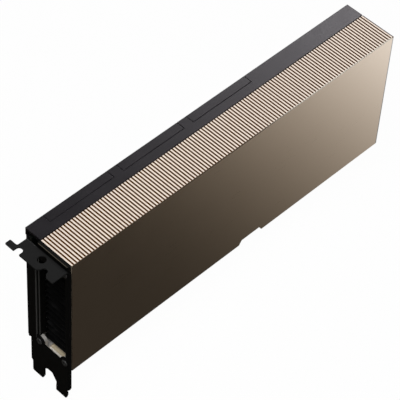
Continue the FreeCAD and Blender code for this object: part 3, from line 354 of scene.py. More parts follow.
@dataclass(frozen=True)
class AnodisedShroud(Finish):
    """Champagne anodised aluminium: light ribs, painted shade in the grooves and a deeper bronze
    face, with painted shade and painted highlights at the rim, the front end and the inner lip.

    The places are in the row frame, and a span is where a change of colour starts and ends.
    """

    face_colour: Colour = (0.825, 0.705, 0.585)
    # Painted shade: the grooves' colour is darkened for the shade that falls in them.
    painted_groove_shade: Colour = (0.135, 0.048, 0.002)
    # Painted shade in front and a painted highlight toward the tail, on the thin rim between the
    # ribs and the face.
    rim_painted_shade: Colour = (0.15, 0.105, 0.07)
    rim_painted_highlight: Colour = (1.0, 0.93, 0.82)
    # Painted shade on the shroud's front end face.
    cut_painted_shade: Colour = (0.25, 0.205, 0.15)
    tail_colour: Colour = (0.38, 0.37, 0.365)
    # Painted light on the inner lip: a gold-tinted bounce light in its shade, and a painted
    # highlight on its front edge.
    lip_painted_bounce: Colour = (0.74, 0.63, 0.44)
    lip_painted_highlight: Colour = (1.0, 0.94, 0.84)
    rib_foot: float = 1.7 * MM
    slack: float = 0.1 * MM
    groove_shade_span: Span = (2.87 * MM, 2.60 * MM)
    rim_highlight_span: Span = (150.0 * MM, 210.0 * MM)
    rim_foot: float = 2.4 * MM
    rim_back: float = -19.02 * MM
    face_y: float = -19.3 * MM
    cut_y: float = -17.0 * MM
    cut_x: float = 12.68 * MM
    lip_edge_x: float = 14.73 * MM
    lip_top: float = -60.0 * MM
    tail_x: float = 278.73 * MM
    streaks: Triple = (60.0, 5200.0, 5200.0)
    cloud_scale: float = 38.0
    streak_depth: float = 0.003 * MM
    shade: float = 0.72
    shade_share: float = 0.14
    shade_swing: float = 0.3
    grain_swing: float = 0.09
    cloud_swing: float = 0.05
    roughness: float = 0.30
    rib_roughness: float = 0.16
    rib_metallic: float = 0.06
    sheen: float = 0.08

    def build(self) -> Material:
        """Makes the material.

        Returns:
            The shroud's material.
        """
        graph = Graph(self.slot)
        x, y, z = graph.axes()
        grain = graph.noise(1.0, 3.0, graph.stretched(self.streaks)) - 0.5
        cloud = graph.noise(self.cloud_scale) - 0.5
        face = y.below(self.face_y)
        rest = 1.0 - face
        # Painted shade in the grooves, from just under the land down to the rib foot.
        groove = z.ramp(*self.groove_shade_span) * z.above(self.rib_foot - self.slack) * rest
        metal = graph.blend(face, self.colour, self.face_colour)
        metal = self.painted_rim_light(graph, graph.blend(groove, metal, self.painted_groove_shade))
        dark = tuple(c * self.shade for c in self.face_colour)
        share = (0.5 - (grain + cloud) * self.shade_swing) * self.shade_share
        metal = graph.blend(share * face, metal, dark)
        # The inner lip below the window takes painted bounce light, and its front edge a painted
        # highlight.
        lip = z.below(self.lip_top) * rest
        metal = graph.blend(lip, metal, self.lip_painted_bounce)
        metal = graph.blend(lip * x.below(self.lip_edge_x), metal, self.lip_painted_highlight)
        metal = self.ended(graph, metal)
        rough = (self.roughness + grain * self.grain_swing + cloud * self.cloud_swing
                 + rest * self.rib_roughness)
        return graph.surface(metal, rough, 1.0 - rest * (1.0 - self.rib_metallic),
                             graph.bump(grain, self.streak_depth), Specular_IOR_Level=self.sheen)

    def painted_rim_light(self, graph: Graph, metal: Value) -> Value:
        """Paints shade and a highlight on the thin rim between the ribs and the face: painted shade
        in front and a painted highlight at the tail.

        Args:
            graph: the material's graph.
            metal: the colour elsewhere.

        Returns:
            The colour with the rim's painted shade and highlight.
        """
        x, y, z = graph.axes()
        rim = y.below(self.rim_back) * z.above(self.rim_foot)
        colour = graph.blend(x.ramp(*self.rim_highlight_span), self.rim_painted_shade, self.rim_painted_highlight)
        return graph.blend(rim, metal, colour)

    def ended(self, graph: Graph, metal: Value) -> Value:
        """Paints shade on the front end face, and darkens the last stretch at the tail.

        Args:
            graph: the material's graph.
            metal: the colour elsewhere.

        Returns:
            The colour with the ends'.
        """
        x, y, z = graph.axes()
        # Painted shade on the front end face; at the tail the ribs take the painted groove shade
        # and the face's edge a grey.
        cut = x.below(self.cut_x) * y.below(self.cut_y)
        metal = graph.blend(cut, metal, self.cut_painted_shade)
        edge = graph.blend(z.above(self.rib_foot), self.tail_colour, self.painted_groove_shade)
        return graph.blend(x.above(self.tail_x), metal, edge)


@dataclass(frozen=True)
class PaintedLightBox:
    """A box of a coat with painted light: its colour stands in for a highlight on a lit edge or
    light on a lit face; its spans in x, y and z are in millimetres.
    """

    corners: Corners
    colour: Colour


@dataclass(frozen=True)
class Coat(Finish):
    """A thin finish with a fine grain: powder coat, moulded plastic or nickel, by its numbers."""

    roughness: float = 0.5
    metallic: float = 0.0
    grain_scale: float = 2600.0
    grain_depth: float = 0.012 * MM
    mottle: float = 0.35
    sheen: float = 0.5
    tint: Colour = (1.0, 1.0, 1.0)
    patches: tuple[PaintedLightBox, ...] = ()
    cloud_scale: float = 55.0
    grain_swing: float = 0.24
    cloud_swing: float = 0.12

    def build(self) -> Material:
        """Makes the material.

        Returns:
            The coat's material.
        """
        graph = Graph(self.slot)
        grain = graph.noise(self.grain_scale, 3.0, roughness=0.6)
        cloud = graph.noise(self.cloud_scale, 3.0)
        light = tuple(min(1.0, c * (1 + self.mottle)) for c in self.colour)
        deep = tuple(c * (1 - self.mottle * 0.6) for c in self.colour)
        colour = graph.blend((cloud * 0.5 + grain * 0.5).ramp(0.3, 0.7), deep, light)
        # Each box paints light: a painted highlight on an edge, or painted light on a lit top face.
        for patch in self.patches:
            colour = graph.blend(graph.inside(patch.corners), colour, patch.colour)
        rough = (self.roughness + (grain - 0.5) * self.grain_swing
                 + (cloud - 0.5) * self.cloud_swing)
        return graph.surface(colour, rough, self.metallic, graph.bump(grain, self.grain_depth),
                             Specular_IOR_Level=self.sheen, Specular_Tint=(*self.tint, 1.0))


@dataclass(frozen=True)
class BareMetal(Finish):
    """Plain worked metal with fine tool marks along one way and a few duller patches."""

    roughness: float = 0.3
    stretch: Triple = (80.0, 5000.0, 5000.0)
    mark_depth: float = 0.006 * MM
    patch_colour: Colour = (0.4, 0.39, 0.37)
    patch_scale: float = 140.0

    def build(self) -> Material:
        """Makes the material.

        Returns:
            The metal's material.
        """
        graph = Graph(self.slot)
        marks = graph.noise(1.0, 2.0, graph.stretched(self.stretch))
        patch = graph.noise(self.patch_scale, 3.0)
        colour = graph.blend(patch.ramp(0.45, 0.8, 0.0, 0.6), self.colour, self.patch_colour)
        rough = self.roughness + (marks - 0.5) * 0.25 + patch.ramp(0.45, 0.8, 0.0, 0.15)
        return graph.surface(colour, rough, 0.95, graph.bump(marks, self.mark_depth))


@dataclass(frozen=True)
class SolderMask(Finish):
    """Dark board lacquer over fine copper tracks, with plated holes."""

    track_colour: Colour = (0.016, 0.021, 0.017)
    pad_colour: Colour = (0.62, 0.5, 0.27)
    track_pitch: float = 0.62 * MM
    sway: float = 1.2 * MM
    sway_scale: float = 120.0
    zone_scale: float = 70.0
    hole_scale: float = 380.0
    hole_zone_scale: float = 90.0
    relief: float = 0.03 * MM

    def build(self) -> Material:
        """Makes the material.

        Returns:
            The board's material.
        """
        graph = Graph(self.slot)
        x, _y, z = graph.axes()
        sway = graph.noise(self.sway_scale, 1.0) * self.sway
        lane = ((x + z * 0.5 + sway) / self.track_pitch).wrapped(1.0)
        track = (lane - 0.5).absolute().ramp(0.3, 0.22)
        track = track * graph.noise(self.zone_scale, 0.0).ramp(0.48, 0.54)
        holes = graph.cells(self.hole_scale).ramp(0.16, 0.1)
        holes = holes * graph.noise(self.hole_zone_scale, 0.0).above(0.5)
        colour = graph.blend(track, self.colour, self.track_colour)
        colour = graph.blend(holes, colour, self.pad_colour)
        return graph.surface(colour, 0.34 + graph.noise(900.0) * 0.12, holes * 0.9,
                             graph.bump(track * 0.6 + holes * 0.4, self.relief))


@dataclass(frozen=True)
class Moulded(Finish):
    """Moulded, ground or printed stuff with a fine even grain: chips, paste, pads and film."""

    roughness: float = 0.6
    grain_scale: float = 3000.0
    grain_depth: float = 0.01 * MM
    second_colour: Colour = (0.2, 0.2, 0.2)
    metallic: float = 0.0
    cloud_scale: float = 160.0

    def build(self) -> Material:
        """Makes the material.

        Returns:
            The moulded material.
        """
        graph = Graph(self.slot)
        grain = graph.noise(self.grain_scale, 2.0)
        cloud = graph.noise(self.cloud_scale, 3.0)
        colour = graph.blend(cloud.ramp(0.35, 0.75, 0.0, 0.5), self.colour, self.second_colour)
        rough = self.roughness + (grain - 0.5) * 0.2
        return graph.surface(colour, rough, self.metallic, graph.bump(grain, self.grain_depth))


@dataclass(frozen=True)
class GoldPlate(Finish):
    """Hard gold on the contacts, with the light wipe marks that mating leaves."""

    wipe_colour: Colour = (0.95, 0.8, 0.48)
    wipe: Triple = (6000.0, 6000.0, 220.0)
    wipe_depth: float = 0.003 * MM

    def build(self) -> Material:
        """Makes the material.

        Returns:
            The contacts' material.
        """
        graph = Graph(self.slot)
        wipe = graph.noise(1.0, 2.0, graph.stretched(self.wipe))
        colour = graph.blend(wipe.ramp(0.35, 0.75), self.colour, self.wipe_colour)
        return graph.surface(colour, 0.22 + wipe * 0.16, 1.0, graph.bump(wipe, self.wipe_depth))


@dataclass
class Palette:
    """All the finishes, by the record's slot names."""

    finishes: list[Finish] = field(default_factory=lambda: [
        AnodisedShroud("shroud_metal", (0.94, 0.81, 0.70)),
        Coat("rail_plastic", (0.0070, 0.0062, 0.0078), roughness=0.38, grain_scale=2400.0,
             grain_depth=0.006 * MM, mottle=0.3, sheen=0.40, tint=(1.0, 0.93, 1.0)),
        Coat("cap_plastic", (0.0073, 0.0065, 0.0081), roughness=0.38, grain_scale=2400.0,
             grain_depth=0.006 * MM, mottle=0.3, sheen=0.40, tint=(1.0, 0.93, 1.0)),
        Coat("cover_metal", (0.018, 0.018, 0.019), roughness=0.52, grain_scale=1700.0,
             grain_depth=0.03 * MM, mottle=0.4),
        Coat("screw_black", (0.035, 0.034, 0.034), roughness=0.34, metallic=0.3, grain_scale=3200.0,
             grain_depth=0.006 * MM, mottle=0.5),
        # The bracket's boxes are painted light on the tab's top face and a painted highlight along
        # the window's cut edge.
        Coat("bracket_steel", (0.0028, 0.0028, 0.0029), roughness=0.42, grain_scale=2800.0,
             grain_depth=0.006 * MM, sheen=0.10,
             patches=(PaintedLightBox(((-3.0, 9.0), (-20.0, 20.0), (-11.0, 3.0)), (0.0122, 0.0122, 0.0122)),
                      PaintedLightBox(((9.0, 10.3), (7.54, 7.74), (-84.0, -8.0)), (0.075, 0.074, 0.071)))),
        # The collar's boxes are painted highlights along its front face edge and its top front
        # edge.
        Coat("collar_plastic", (0.004, 0.0038, 0.0034), roughness=0.6, mottle=0.3, sheen=0.05,
             patches=(PaintedLightBox(((10.0, 10.6), (5.4, 5.9), (-86.0, -8.0)), (0.062, 0.061, 0.058)),
                      PaintedLightBox(((10.0, 10.5), (-18.0, 5.6), (2.3, 2.8)), (0.075, 0.065, 0.050)))),
        Coat("tail_plastic", (0.018, 0.018, 0.018), roughness=0.52, grain_scale=2400.0,
             grain_depth=0.014 * MM, mottle=0.3),
        Coat("socket_plastic", (0.012, 0.012, 0.013), roughness=0.36, grain_scale=3000.0,
             grain_depth=0.006 * MM, mottle=0.3),
        Moulded("film", (0.02, 0.02, 0.021), roughness=0.3, grain_scale=500.0,
                second_colour=(0.035, 0.035, 0.035)),
        BareMetal("screw_steel", (0.60, 0.59, 0.56), stretch=(4000.0, 4000.0, 4000.0)),
        SolderMask("board", (0.006, 0.008, 0.0065)),
        GoldPlate("gold", (0.80, 0.58, 0.24)),
        Moulded("substrate", (0.05, 0.12, 0.07), roughness=0.4, grain_scale=1500.0,
                second_colour=(0.07, 0.16, 0.09)),
        BareMetal("nickel", (0.62, 0.61, 0.58), roughness=0.28, stretch=(3000.0, 3000.0, 90.0)),
        Moulded("silicon", (0.11, 0.12, 0.14), roughness=0.16, grain_scale=4000.0,
                grain_depth=0.002 * MM, second_colour=(0.15, 0.15, 0.19), metallic=0.5),
        Moulded("paste", (0.45, 0.45, 0.46), roughness=0.7, grain_scale=900.0,
                grain_depth=0.05 * MM, second_colour=(0.36, 0.36, 0.37)),
        Moulded("moulded", (0.05, 0.05, 0.052), roughness=0.62, grain_scale=2600.0,
                grain_depth=0.015 * MM, second_colour=(0.075, 0.075, 0.075)),
        Moulded("capacitor", (0.09, 0.07, 0.05), roughness=0.5, grain_scale=1800.0,
                grain_depth=0.012 * MM, second_colour=(0.16, 0.12, 0.07)),
        Moulded("pad", (0.40, 0.45, 0.52), roughness=0.85, grain_scale=1300.0,
                grain_depth=0.05 * MM, second_colour=(0.34, 0.39, 0.45)),
        BareMetal("base_metal", (0.55, 0.55, 0.54), roughness=0.36, stretch=(90.0, 4200.0, 4200.0),
                  mark_depth=0.008 * MM),
        BareMetal("fin_metal", (0.035, 0.035, 0.036), roughness=0.42,
                  stretch=(70.0, 3600.0, 3600.0), patch_colour=(0.06, 0.06, 0.06)),
        BareMetal("spring_steel", (0.42, 0.42, 0.41), roughness=0.32,
                  stretch=(110.0, 3800.0, 3800.0)),
        Coat("foot_steel", (0.50, 0.48, 0.45), roughness=0.36, metallic=0.25, grain_scale=3500.0,
             grain_depth=0.004 * MM, mottle=0.15),
        BareMetal("insert_brass", (0.72, 0.52, 0.24), stretch=(4200.0, 4200.0, 4200.0),
                  mark_depth=0.01 * MM, patch_colour=(0.5, 0.36, 0.18)),
        BareMetal("pin_metal", (0.78, 0.72, 0.58), roughness=0.26, stretch=(120.0, 5200.0, 5200.0),
                  mark_depth=0.004 * MM, patch_colour=(0.6, 0.55, 0.45)),
    ])
    made: dict[str, Material] = field(default_factory=dict)

    def build(self) -> None:
        """Makes each finish's material."""
        for finish in self.finishes:
            self.made[finish.slot] = finish.build()
        LOG.info("palette: %d finishes", len(self.made))

    def dress(self, piece: Object, slot: str) -> None:
        """Gives a piece the finish of a slot of the record."""
        piece.data.materials.clear()
        piece.data.materials.append(self.made[slot])


# -------- mesh building


class Shaper:
    """Shapes one object with Blender's own operators, as by hand."""

    def __init__(self, piece: Object) -> None:
        """Takes in hand the object to shape."""
        self.piece = piece

    @staticmethod
    def drop_all() -> None:
        """Deselects every object."""
        bpy.ops.object.select_all(action="DESELECT")

    @classmethod
    def cube(cls, name: str, low: Vector, high: Vector) -> "Shaper":
        """Starts from a cube.

        Args:
            name: the piece's name.
            low: its lowest corner.
            high: its highest corner.

        Returns:
            The shaper of the new piece.
        """
        cls.drop_all()
        bpy.ops.mesh.primitive_cube_add(size=1.0, location=(low + high) / 2)
        piece = bpy.context.active_object
        piece.name = name
        piece.scale = high - low
        bpy.ops.object.transform_apply(location=True, rotation=True, scale=True)
        return cls(piece)

    @classmethod
    def cylinder(cls, name: str, start: Vector, axis: Axis, radius: float, length: float,
                 sides: int) -> "Shaper":
        """Starts from a cylinder.

        Args:
            name: the piece's name.
            start: the centre of its first end.
            axis: the way from the first end to the other.
            radius: its radius.
            length: its length.
            sides: how many sides it has.

        Returns:
            The shaper of the new piece.
        """
        cls.drop_all()
        turn = axis.vector.to_track_quat("Z", "Y").to_euler()
        bpy.ops.mesh.primitive_cylinder_add(
            vertices=sides, radius=radius, depth=length,
            location=start + axis.vector * (length / 2), rotation=turn)
        piece = bpy.context.active_object
        piece.name = name
        bpy.ops.object.transform_apply(location=True, rotation=True, scale=True)
        return cls(piece)

    @classmethod
    def copy_of(cls, node: Object, name: str) -> "Shaper":
        """Starts from a copy of a CAD node's mesh, with its doubles merged and flats rejoined.

        Args:
            node: the CAD node.
            name: the new piece's name.

        Returns:
            The shaper of the new piece.
        """
        cls.drop_all()
        piece = bpy.data.objects.new(name, node.data.copy())
        bpy.context.scene.collection.objects.link(piece)
        shaper = cls(piece)
        shaper.edit()
        bpy.ops.mesh.select_all(action="SELECT")
        bpy.ops.mesh.customdata_custom_splitnormals_clear()
        bpy.ops.mesh.remove_doubles(threshold=WELD)
        bpy.ops.mesh.dissolve_limited(angle_limit=math.radians(FLAT_ANGLE))
        shaper.leave()
        return shaper

    def hold(self) -> None:
        """Selects the piece alone and makes it the active one."""
        self.drop_all()
        bpy.context.view_layer.objects.active = self.piece
        self.piece.select_set(True)

    def edit(self) -> None:
        """Goes into edit mode on the piece alone, with nothing of it selected."""
        self.hold()
        bpy.ops.object.mode_set(mode="EDIT")
        bpy.ops.mesh.select_mode(type="FACE")
        bpy.ops.mesh.select_all(action="DESELECT")

    def leave(self) -> None:
        """Goes back to object mode."""
        bpy.ops.object.mode_set(mode="OBJECT")

    def pick(self, test: FaceTest) -> None:
        """Selects faces by their place and normal. The piece is in edit mode.

        Args:
            test: takes a face's centre and normal.
        """
        bpy.ops.mesh.select_all(action="DESELECT")
        shape = bmesh.from_edit_mesh(self.piece.data)
        shape.normal_update()
        for face in shape.faces:
            if test(face.calc_center_median(), face.normal):
                face.select_set(True)
        bmesh.update_edit_mesh(self.piece.data)

    def soften(self, width: float, segments: int = 2, angle: float = SHARP_ANGLE) -> "Shaper":
        """Breaks the sharp edges.

        Args:
            width: the width of the broken edge.
            segments: how many faces across it.
            angle: how sharp an edge has to be, in degrees.

        Returns:
            Self.
        """
        return self.modify("BEVEL", width=width, segments=segments, limit_method="ANGLE",
                           angle_limit=math.radians(angle), use_clamp_overlap=True)

    def modify(self, kind: str, **settings: object) -> "Shaper":
        """Adds a modifier and applies it.

        Args:
            kind: the modifier's type.
            settings: its settings.

        Returns:
            Self.
        """
        self.hold()
        modifier = self.piece.modifiers.new(kind.lower(), kind)
        for name, setting in settings.items():
            setattr(modifier, name, setting)
        bpy.ops.object.modifier_apply(modifier=modifier.name)
        return self

    def carve(self, cutter: "Shaper") -> "Shaper":
        """Takes another piece's shape out of this one, and removes that piece.

        Args:
            cutter: the shaper of the piece that cuts.

        Returns:
            Self.
        """
        self.modify("BOOLEAN", operation="DIFFERENCE", object=cutter.piece, solver="EXACT")
        bpy.data.objects.remove(cutter.piece, do_unlink=True)
        return self

    def smooth(self, angle: float = SMOOTH_ANGLE) -> "Shaper":
        """Shades smooth, with flats kept flat.

        Args:
            angle: how sharp an edge may be and still be smoothed, in degrees.

        Returns:
            Self.
        """
        self.hold()
        bpy.ops.object.shade_smooth_by_angle(angle=math.radians(angle))
        return self.modify("WEIGHTED_NORMAL", weight=80, keep_sharp=True)


def join(name: str, pieces: Sequence[Object]) -> Object:
    """Joins objects into one.

    Args:
        name: the joined piece's name.
        pieces: the objects, of which the first is kept.

    Returns:
        The joined object.
    """
    Shaper.drop_all()
    for piece in pieces:
        piece.select_set(True)
    bpy.context.view_layer.objects.active = pieces[0]
    if len(pieces) > 1:
        bpy.ops.object.join()
    pieces[0].name = name
    return pieces[0]


def copies(piece: Object, places: Sequence[Vector]) -> list[Object]:
    """Copies a piece that was modelled at the origin to each place, with its own mesh each time.

    Args:
        piece: the model, which is removed.
        places: where the copies go.

    Returns:
        The copies.
    """
    made = []
    for place in places:
        mesh = piece.data.copy()
        mesh.transform(Matrix.Translation(place))
        made.append(bpy.data.objects.new(piece.name, mesh))
        bpy.context.scene.collection.objects.link(made[-1])
    bpy.data.objects.remove(piece, do_unlink=True)
    return made


def islands(node: Object) -> list[Box]:
    """The corners of each separate solid of a CAD node.

    Args:
        node: the CAD node.

    Returns:
        The lowest and highest corner of each solid, in order of x, then z.
    """
    shape = bmesh.new()
    shape.from_mesh(node.data)
    bmesh.ops.remove_doubles(shape, verts=shape.verts, dist=WELD)
    seen: set[bmesh.types.BMVert] = set()
    boxes: list[Box] = []
    for start in shape.verts:
        if start in seen:
            continue
        seen.add(start)
        island = [start]
        for vertex in island:
            for edge in vertex.link_edges:
                other = edge.other_vert(vertex)
                if other not in seen:
                    seen.add(other)
                    island.append(other)
        places = [vertex.co for vertex in island]
        boxes.append((Vector(map(min, *places)), Vector(map(max, *places))))
    shape.free()
    return sorted(boxes, key=lambda box: (round(box[0].x, 4), round(box[0].z, 4)))


# -------- sub-assemblies


@dataclass
class Workshop:
    """What every sub-assembly needs: the CAD nodes and the palette."""

    nodes: dict[str, Object]
    palette: Palette

    def take(self, piece: Object, slot: str, *stands_for: str) -> None:
        """Finishes a piece: its material, its body, its slot and the nodes that it stands for.

        Args:
            piece: the finished piece.
            slot: the record's slot.
            stands_for: the CAD nodes that it replaces.
        """
        self.palette.dress(piece, slot)
        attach(piece, BODY)
        if stands_for:
            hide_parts(*stands_for)
        LOG.info("piece %s: %d faces", piece.name, len(piece.data.polygons))

    def softened(self, node: str, name: str, slot: str, width: float) -> None:
        """Makes a softened stand-in for a CAD node.

        Args:
            node: the CAD node.
            name: the new piece's name.
            slot: the record's slot.
            width: the width of its broken edges.
        """
        shaper = Shaper.copy_of(self.nodes[node], name)
        shaper.soften(width).smooth()
        self.take(shaper.piece, slot, node)


@dataclass
class Shell:
    """The shroud, the top rail with its three caps, and the back cover."""

    shop: Workshop
    rib_edge: float = 0.12 * MM
    rail_edge: float = 0.1 * MM
    cover_edge: float = 0.3 * MM
    rim_width: float = 0.66 * MM
    rim_height: float = 1.15 * MM
    rim_gap: float = 0.01 * MM
    rim_edge: float = 0.06 * MM

    def tail_rim(self) -> None:
        """Makes the dark rim that stands in the last groove and ends the ribs at the tail."""
        low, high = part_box("shroud")
        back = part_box("top_rail")[0].y - RIB_STEP
        foot = high.z - RIB_DEPTH + self.rim_gap
        rim = Shaper.cube("tail_rim", Vector((high.x - self.rim_width, low.y + RIM_LAND, foot)),
                          Vector((high.x - self.rim_gap, back, foot + self.rim_height)))
        rim.soften(self.rim_edge, segments=1).smooth()
        self.shop.take(rim.piece, "rail_plastic")

    def build(self) -> None:
        """Makes the softened shells."""
        self.shop.softened("shroud", "shroud_skin", "shroud_metal", self.rib_edge)
        self.tail_rim()
        self.shop.softened("top_rail", "top_rail_skin", "rail_plastic", self.rail_edge)
        for index in (1, 2, 3):
            self.shop.softened(f"bridge_cap_{index}", f"bridge_cap_skin_{index}", "cap_plastic",
                               self.rail_edge)
        self.shop.softened("back_cover", "back_cover_skin", "cover_metal", self.cover_edge)


@dataclass
class FrontEnd:
    """The bracket, the collar that carries it and the threaded feet."""

    shop: Workshop
    fold_edge: float = 0.12 * MM
    collar_edge: float = 0.3 * MM

    def build(self) -> None:
        """Makes the softened front pieces."""
        self.shop.softened("bracket", "bracket_skin", "bracket_steel", self.fold_edge)
        self.shop.softened("front_collar", "collar_skin", "collar_plastic", self.collar_edge)
        self.shop.softened("threaded_feet", "feet_skin", "foot_steel", self.fold_edge)


@dataclass
class TailEnd:
    """The tail frame and the power socket."""

    shop: Workshop
    frame_edge: float = 0.25 * MM
    socket_edge: float = 0.15 * MM

    def build(self) -> None:
        """Makes the softened tail pieces."""
        self.shop.softened("tail_frame", "tail_frame_skin", "tail_plastic", self.frame_edge)
        self.shop.softened("power_socket", "socket_skin", "socket_plastic", self.socket_edge)


@dataclass
class Screws:
    """One node's cross-recessed screws, remodelled in place of its plain ones.

    The recess is given in shares of the head's radius and wall, and the rounding in its wall's.
    """

    shop: Workshop
    node: str
    slot: str
    axis: Axis
    head_radius: float
    head_wall: float
    sunk: bool
    sunk_share: float = 0.55
    rounding: float = 0.38
    arm_reach: float = 0.62
    arm_width: float = 0.2
    arm_depth: float = 0.75
    head_edge: float = 0.05 * MM
    head_sides: int = 24
    shank_start: float = 0.98
    shank_radius: float = 1.15 * MM
    shank_edge: float = 0.2 * MM
    shank_sides: int = 12

    def model(self) -> Object:
        """Models one head at the origin, pointing along the axis, with its cross recess.

        Returns:
            The model.
        """
        into = self.axis.vector
        radius, wall = self.head_radius, self.head_wall
        head = Shaper.cylinder(f"{self.node}_head", Vector(), self.axis, radius, wall,
                               self.head_sides)
        head.edit()
        if self.sunk:
            head.pick(lambda _centre, normal: normal.dot(into) > END_TURN)
            bpy.ops.transform.resize(value=(self.sunk_share,) * 3)
        else:
            head.pick(lambda _centre, normal: normal.dot(into) < -END_TURN)
            bpy.ops.mesh.bevel(offset=wall * self.rounding, segments=3, affect="EDGES")
        head.leave()
        sides = [v for v in (Vector((1, 0, 0)), Vector((0, 1, 0)), Vector((0, 0, 1)))
                 if not v.dot(into)]
        for along, across in (sides, sides[::-1]):
            reach = along * (radius * self.arm_reach) + across * (radius * self.arm_width)
            ends = (-reach - into * wall, reach + into * wall * self.arm_depth)
            head.carve(Shaper.cube("recess", Vector(map(min, *ends)), Vector(map(max, *ends))))
        head.soften(self.head_edge, segments=1, angle=40.0)
        return head.smooth().piece

    def build(self) -> None:
        """Puts a modelled head with a plain shank at each of the node's screws."""
        into = self.axis.vector
        boxes = islands(self.shop.nodes[self.node])
        lengths = [abs((high - low).dot(into)) for low, high in boxes]
        heads = [(low + high) / 2 - into * (length / 2)
                 for (low, high), length in zip(boxes, lengths)]
        head = self.model()
        start = self.head_wall * self.shank_start
        shank = Shaper.cylinder(f"{self.node}_shank", into * start, self.axis, self.shank_radius,
                                max(lengths) - start, self.shank_sides)
        shank.soften(self.shank_edge, segments=1, angle=60.0).smooth()
        model = join(f"{self.node}_model", [head, shank.piece])
        made = join(f"{self.node}_cut", copies(model, heads))
        self.shop.take(made, self.slot, self.node)


@dataclass
class BoardChips:
    """A row of small chip capacitors on the board's front, above the contacts."""

    shop: Workshop
    length: float = 1.0 * MM
    width: float = 0.5 * MM
    height: float = 0.45 * MM
    end_share: float = 0.26
    end_swell: float = 1.08
    pitch: float = 2.0 * MM
    count: int = 32
    lead: float = 16.0 * MM
    lift: float = 5.2 * MM

    def model(self) -> Object:
        """Models one chip capacitor, standing upright on the board at the origin.

        Returns:
            The model, whose two ends are a little wider, like solder.
        """
        limit = self.length * self.end_share
        body = Shaper.cube("chip", Vector((-self.width / 2, -self.height, -self.length / 2)),
                           Vector((self.width / 2, 0.0, self.length / 2)))
        body.edit()
        for place in (-limit, limit):
            bpy.ops.mesh.select_all(action="SELECT")
            bpy.ops.mesh.bisect(plane_co=(0.0, 0.0, place), plane_no=(0.0, 0.0, 1.0))
        body.pick(lambda centre, _normal: abs(centre.z) > limit)
        bpy.ops.transform.resize(value=(self.end_swell, 1.0, 1.0))
        body.leave()
        return body.smooth(angle=20.0).piece

    def build(self) -> None:
        """Puts the row on the board's front, over the contacts' upper ends."""
        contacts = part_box("edge_contacts")
        start = contacts[0].x + self.lead
        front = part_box("circuit_board")[0].y
        places = [Vector((start + self.pitch * index, front, contacts[1].z + self.lift))
                  for index in range(self.count)]
        self.shop.take(join("chip_capacitors", copies(self.model(), places)), "capacitor")


# -------- studio


@dataclass(frozen=True)
class SoftBox:
    """One large lamp, or a card that only shows in what is glossy."""

    name: str
    place: Triple
    aim: Triple
    width: float
    height: float
    power: float
    lights: bool = True

    def build(self) -> None:
        """Hangs the lamp and points it."""
        lamp = bpy.data.lights.new(self.name, "AREA")
        lamp.shape = "RECTANGLE"
        lamp.size, lamp.size_y = self.width, self.height
        lamp.energy = self.power
        holder = bpy.data.objects.new(self.name, lamp)
        holder.location = self.place
        holder.rotation_euler = (Vector(self.aim) - Vector(self.place)).to_track_quat(
            "-Z", "Y").to_euler()
        holder.visible_camera = False
        holder.visible_diffuse = self.lights
        bpy.context.scene.collection.objects.link(holder)


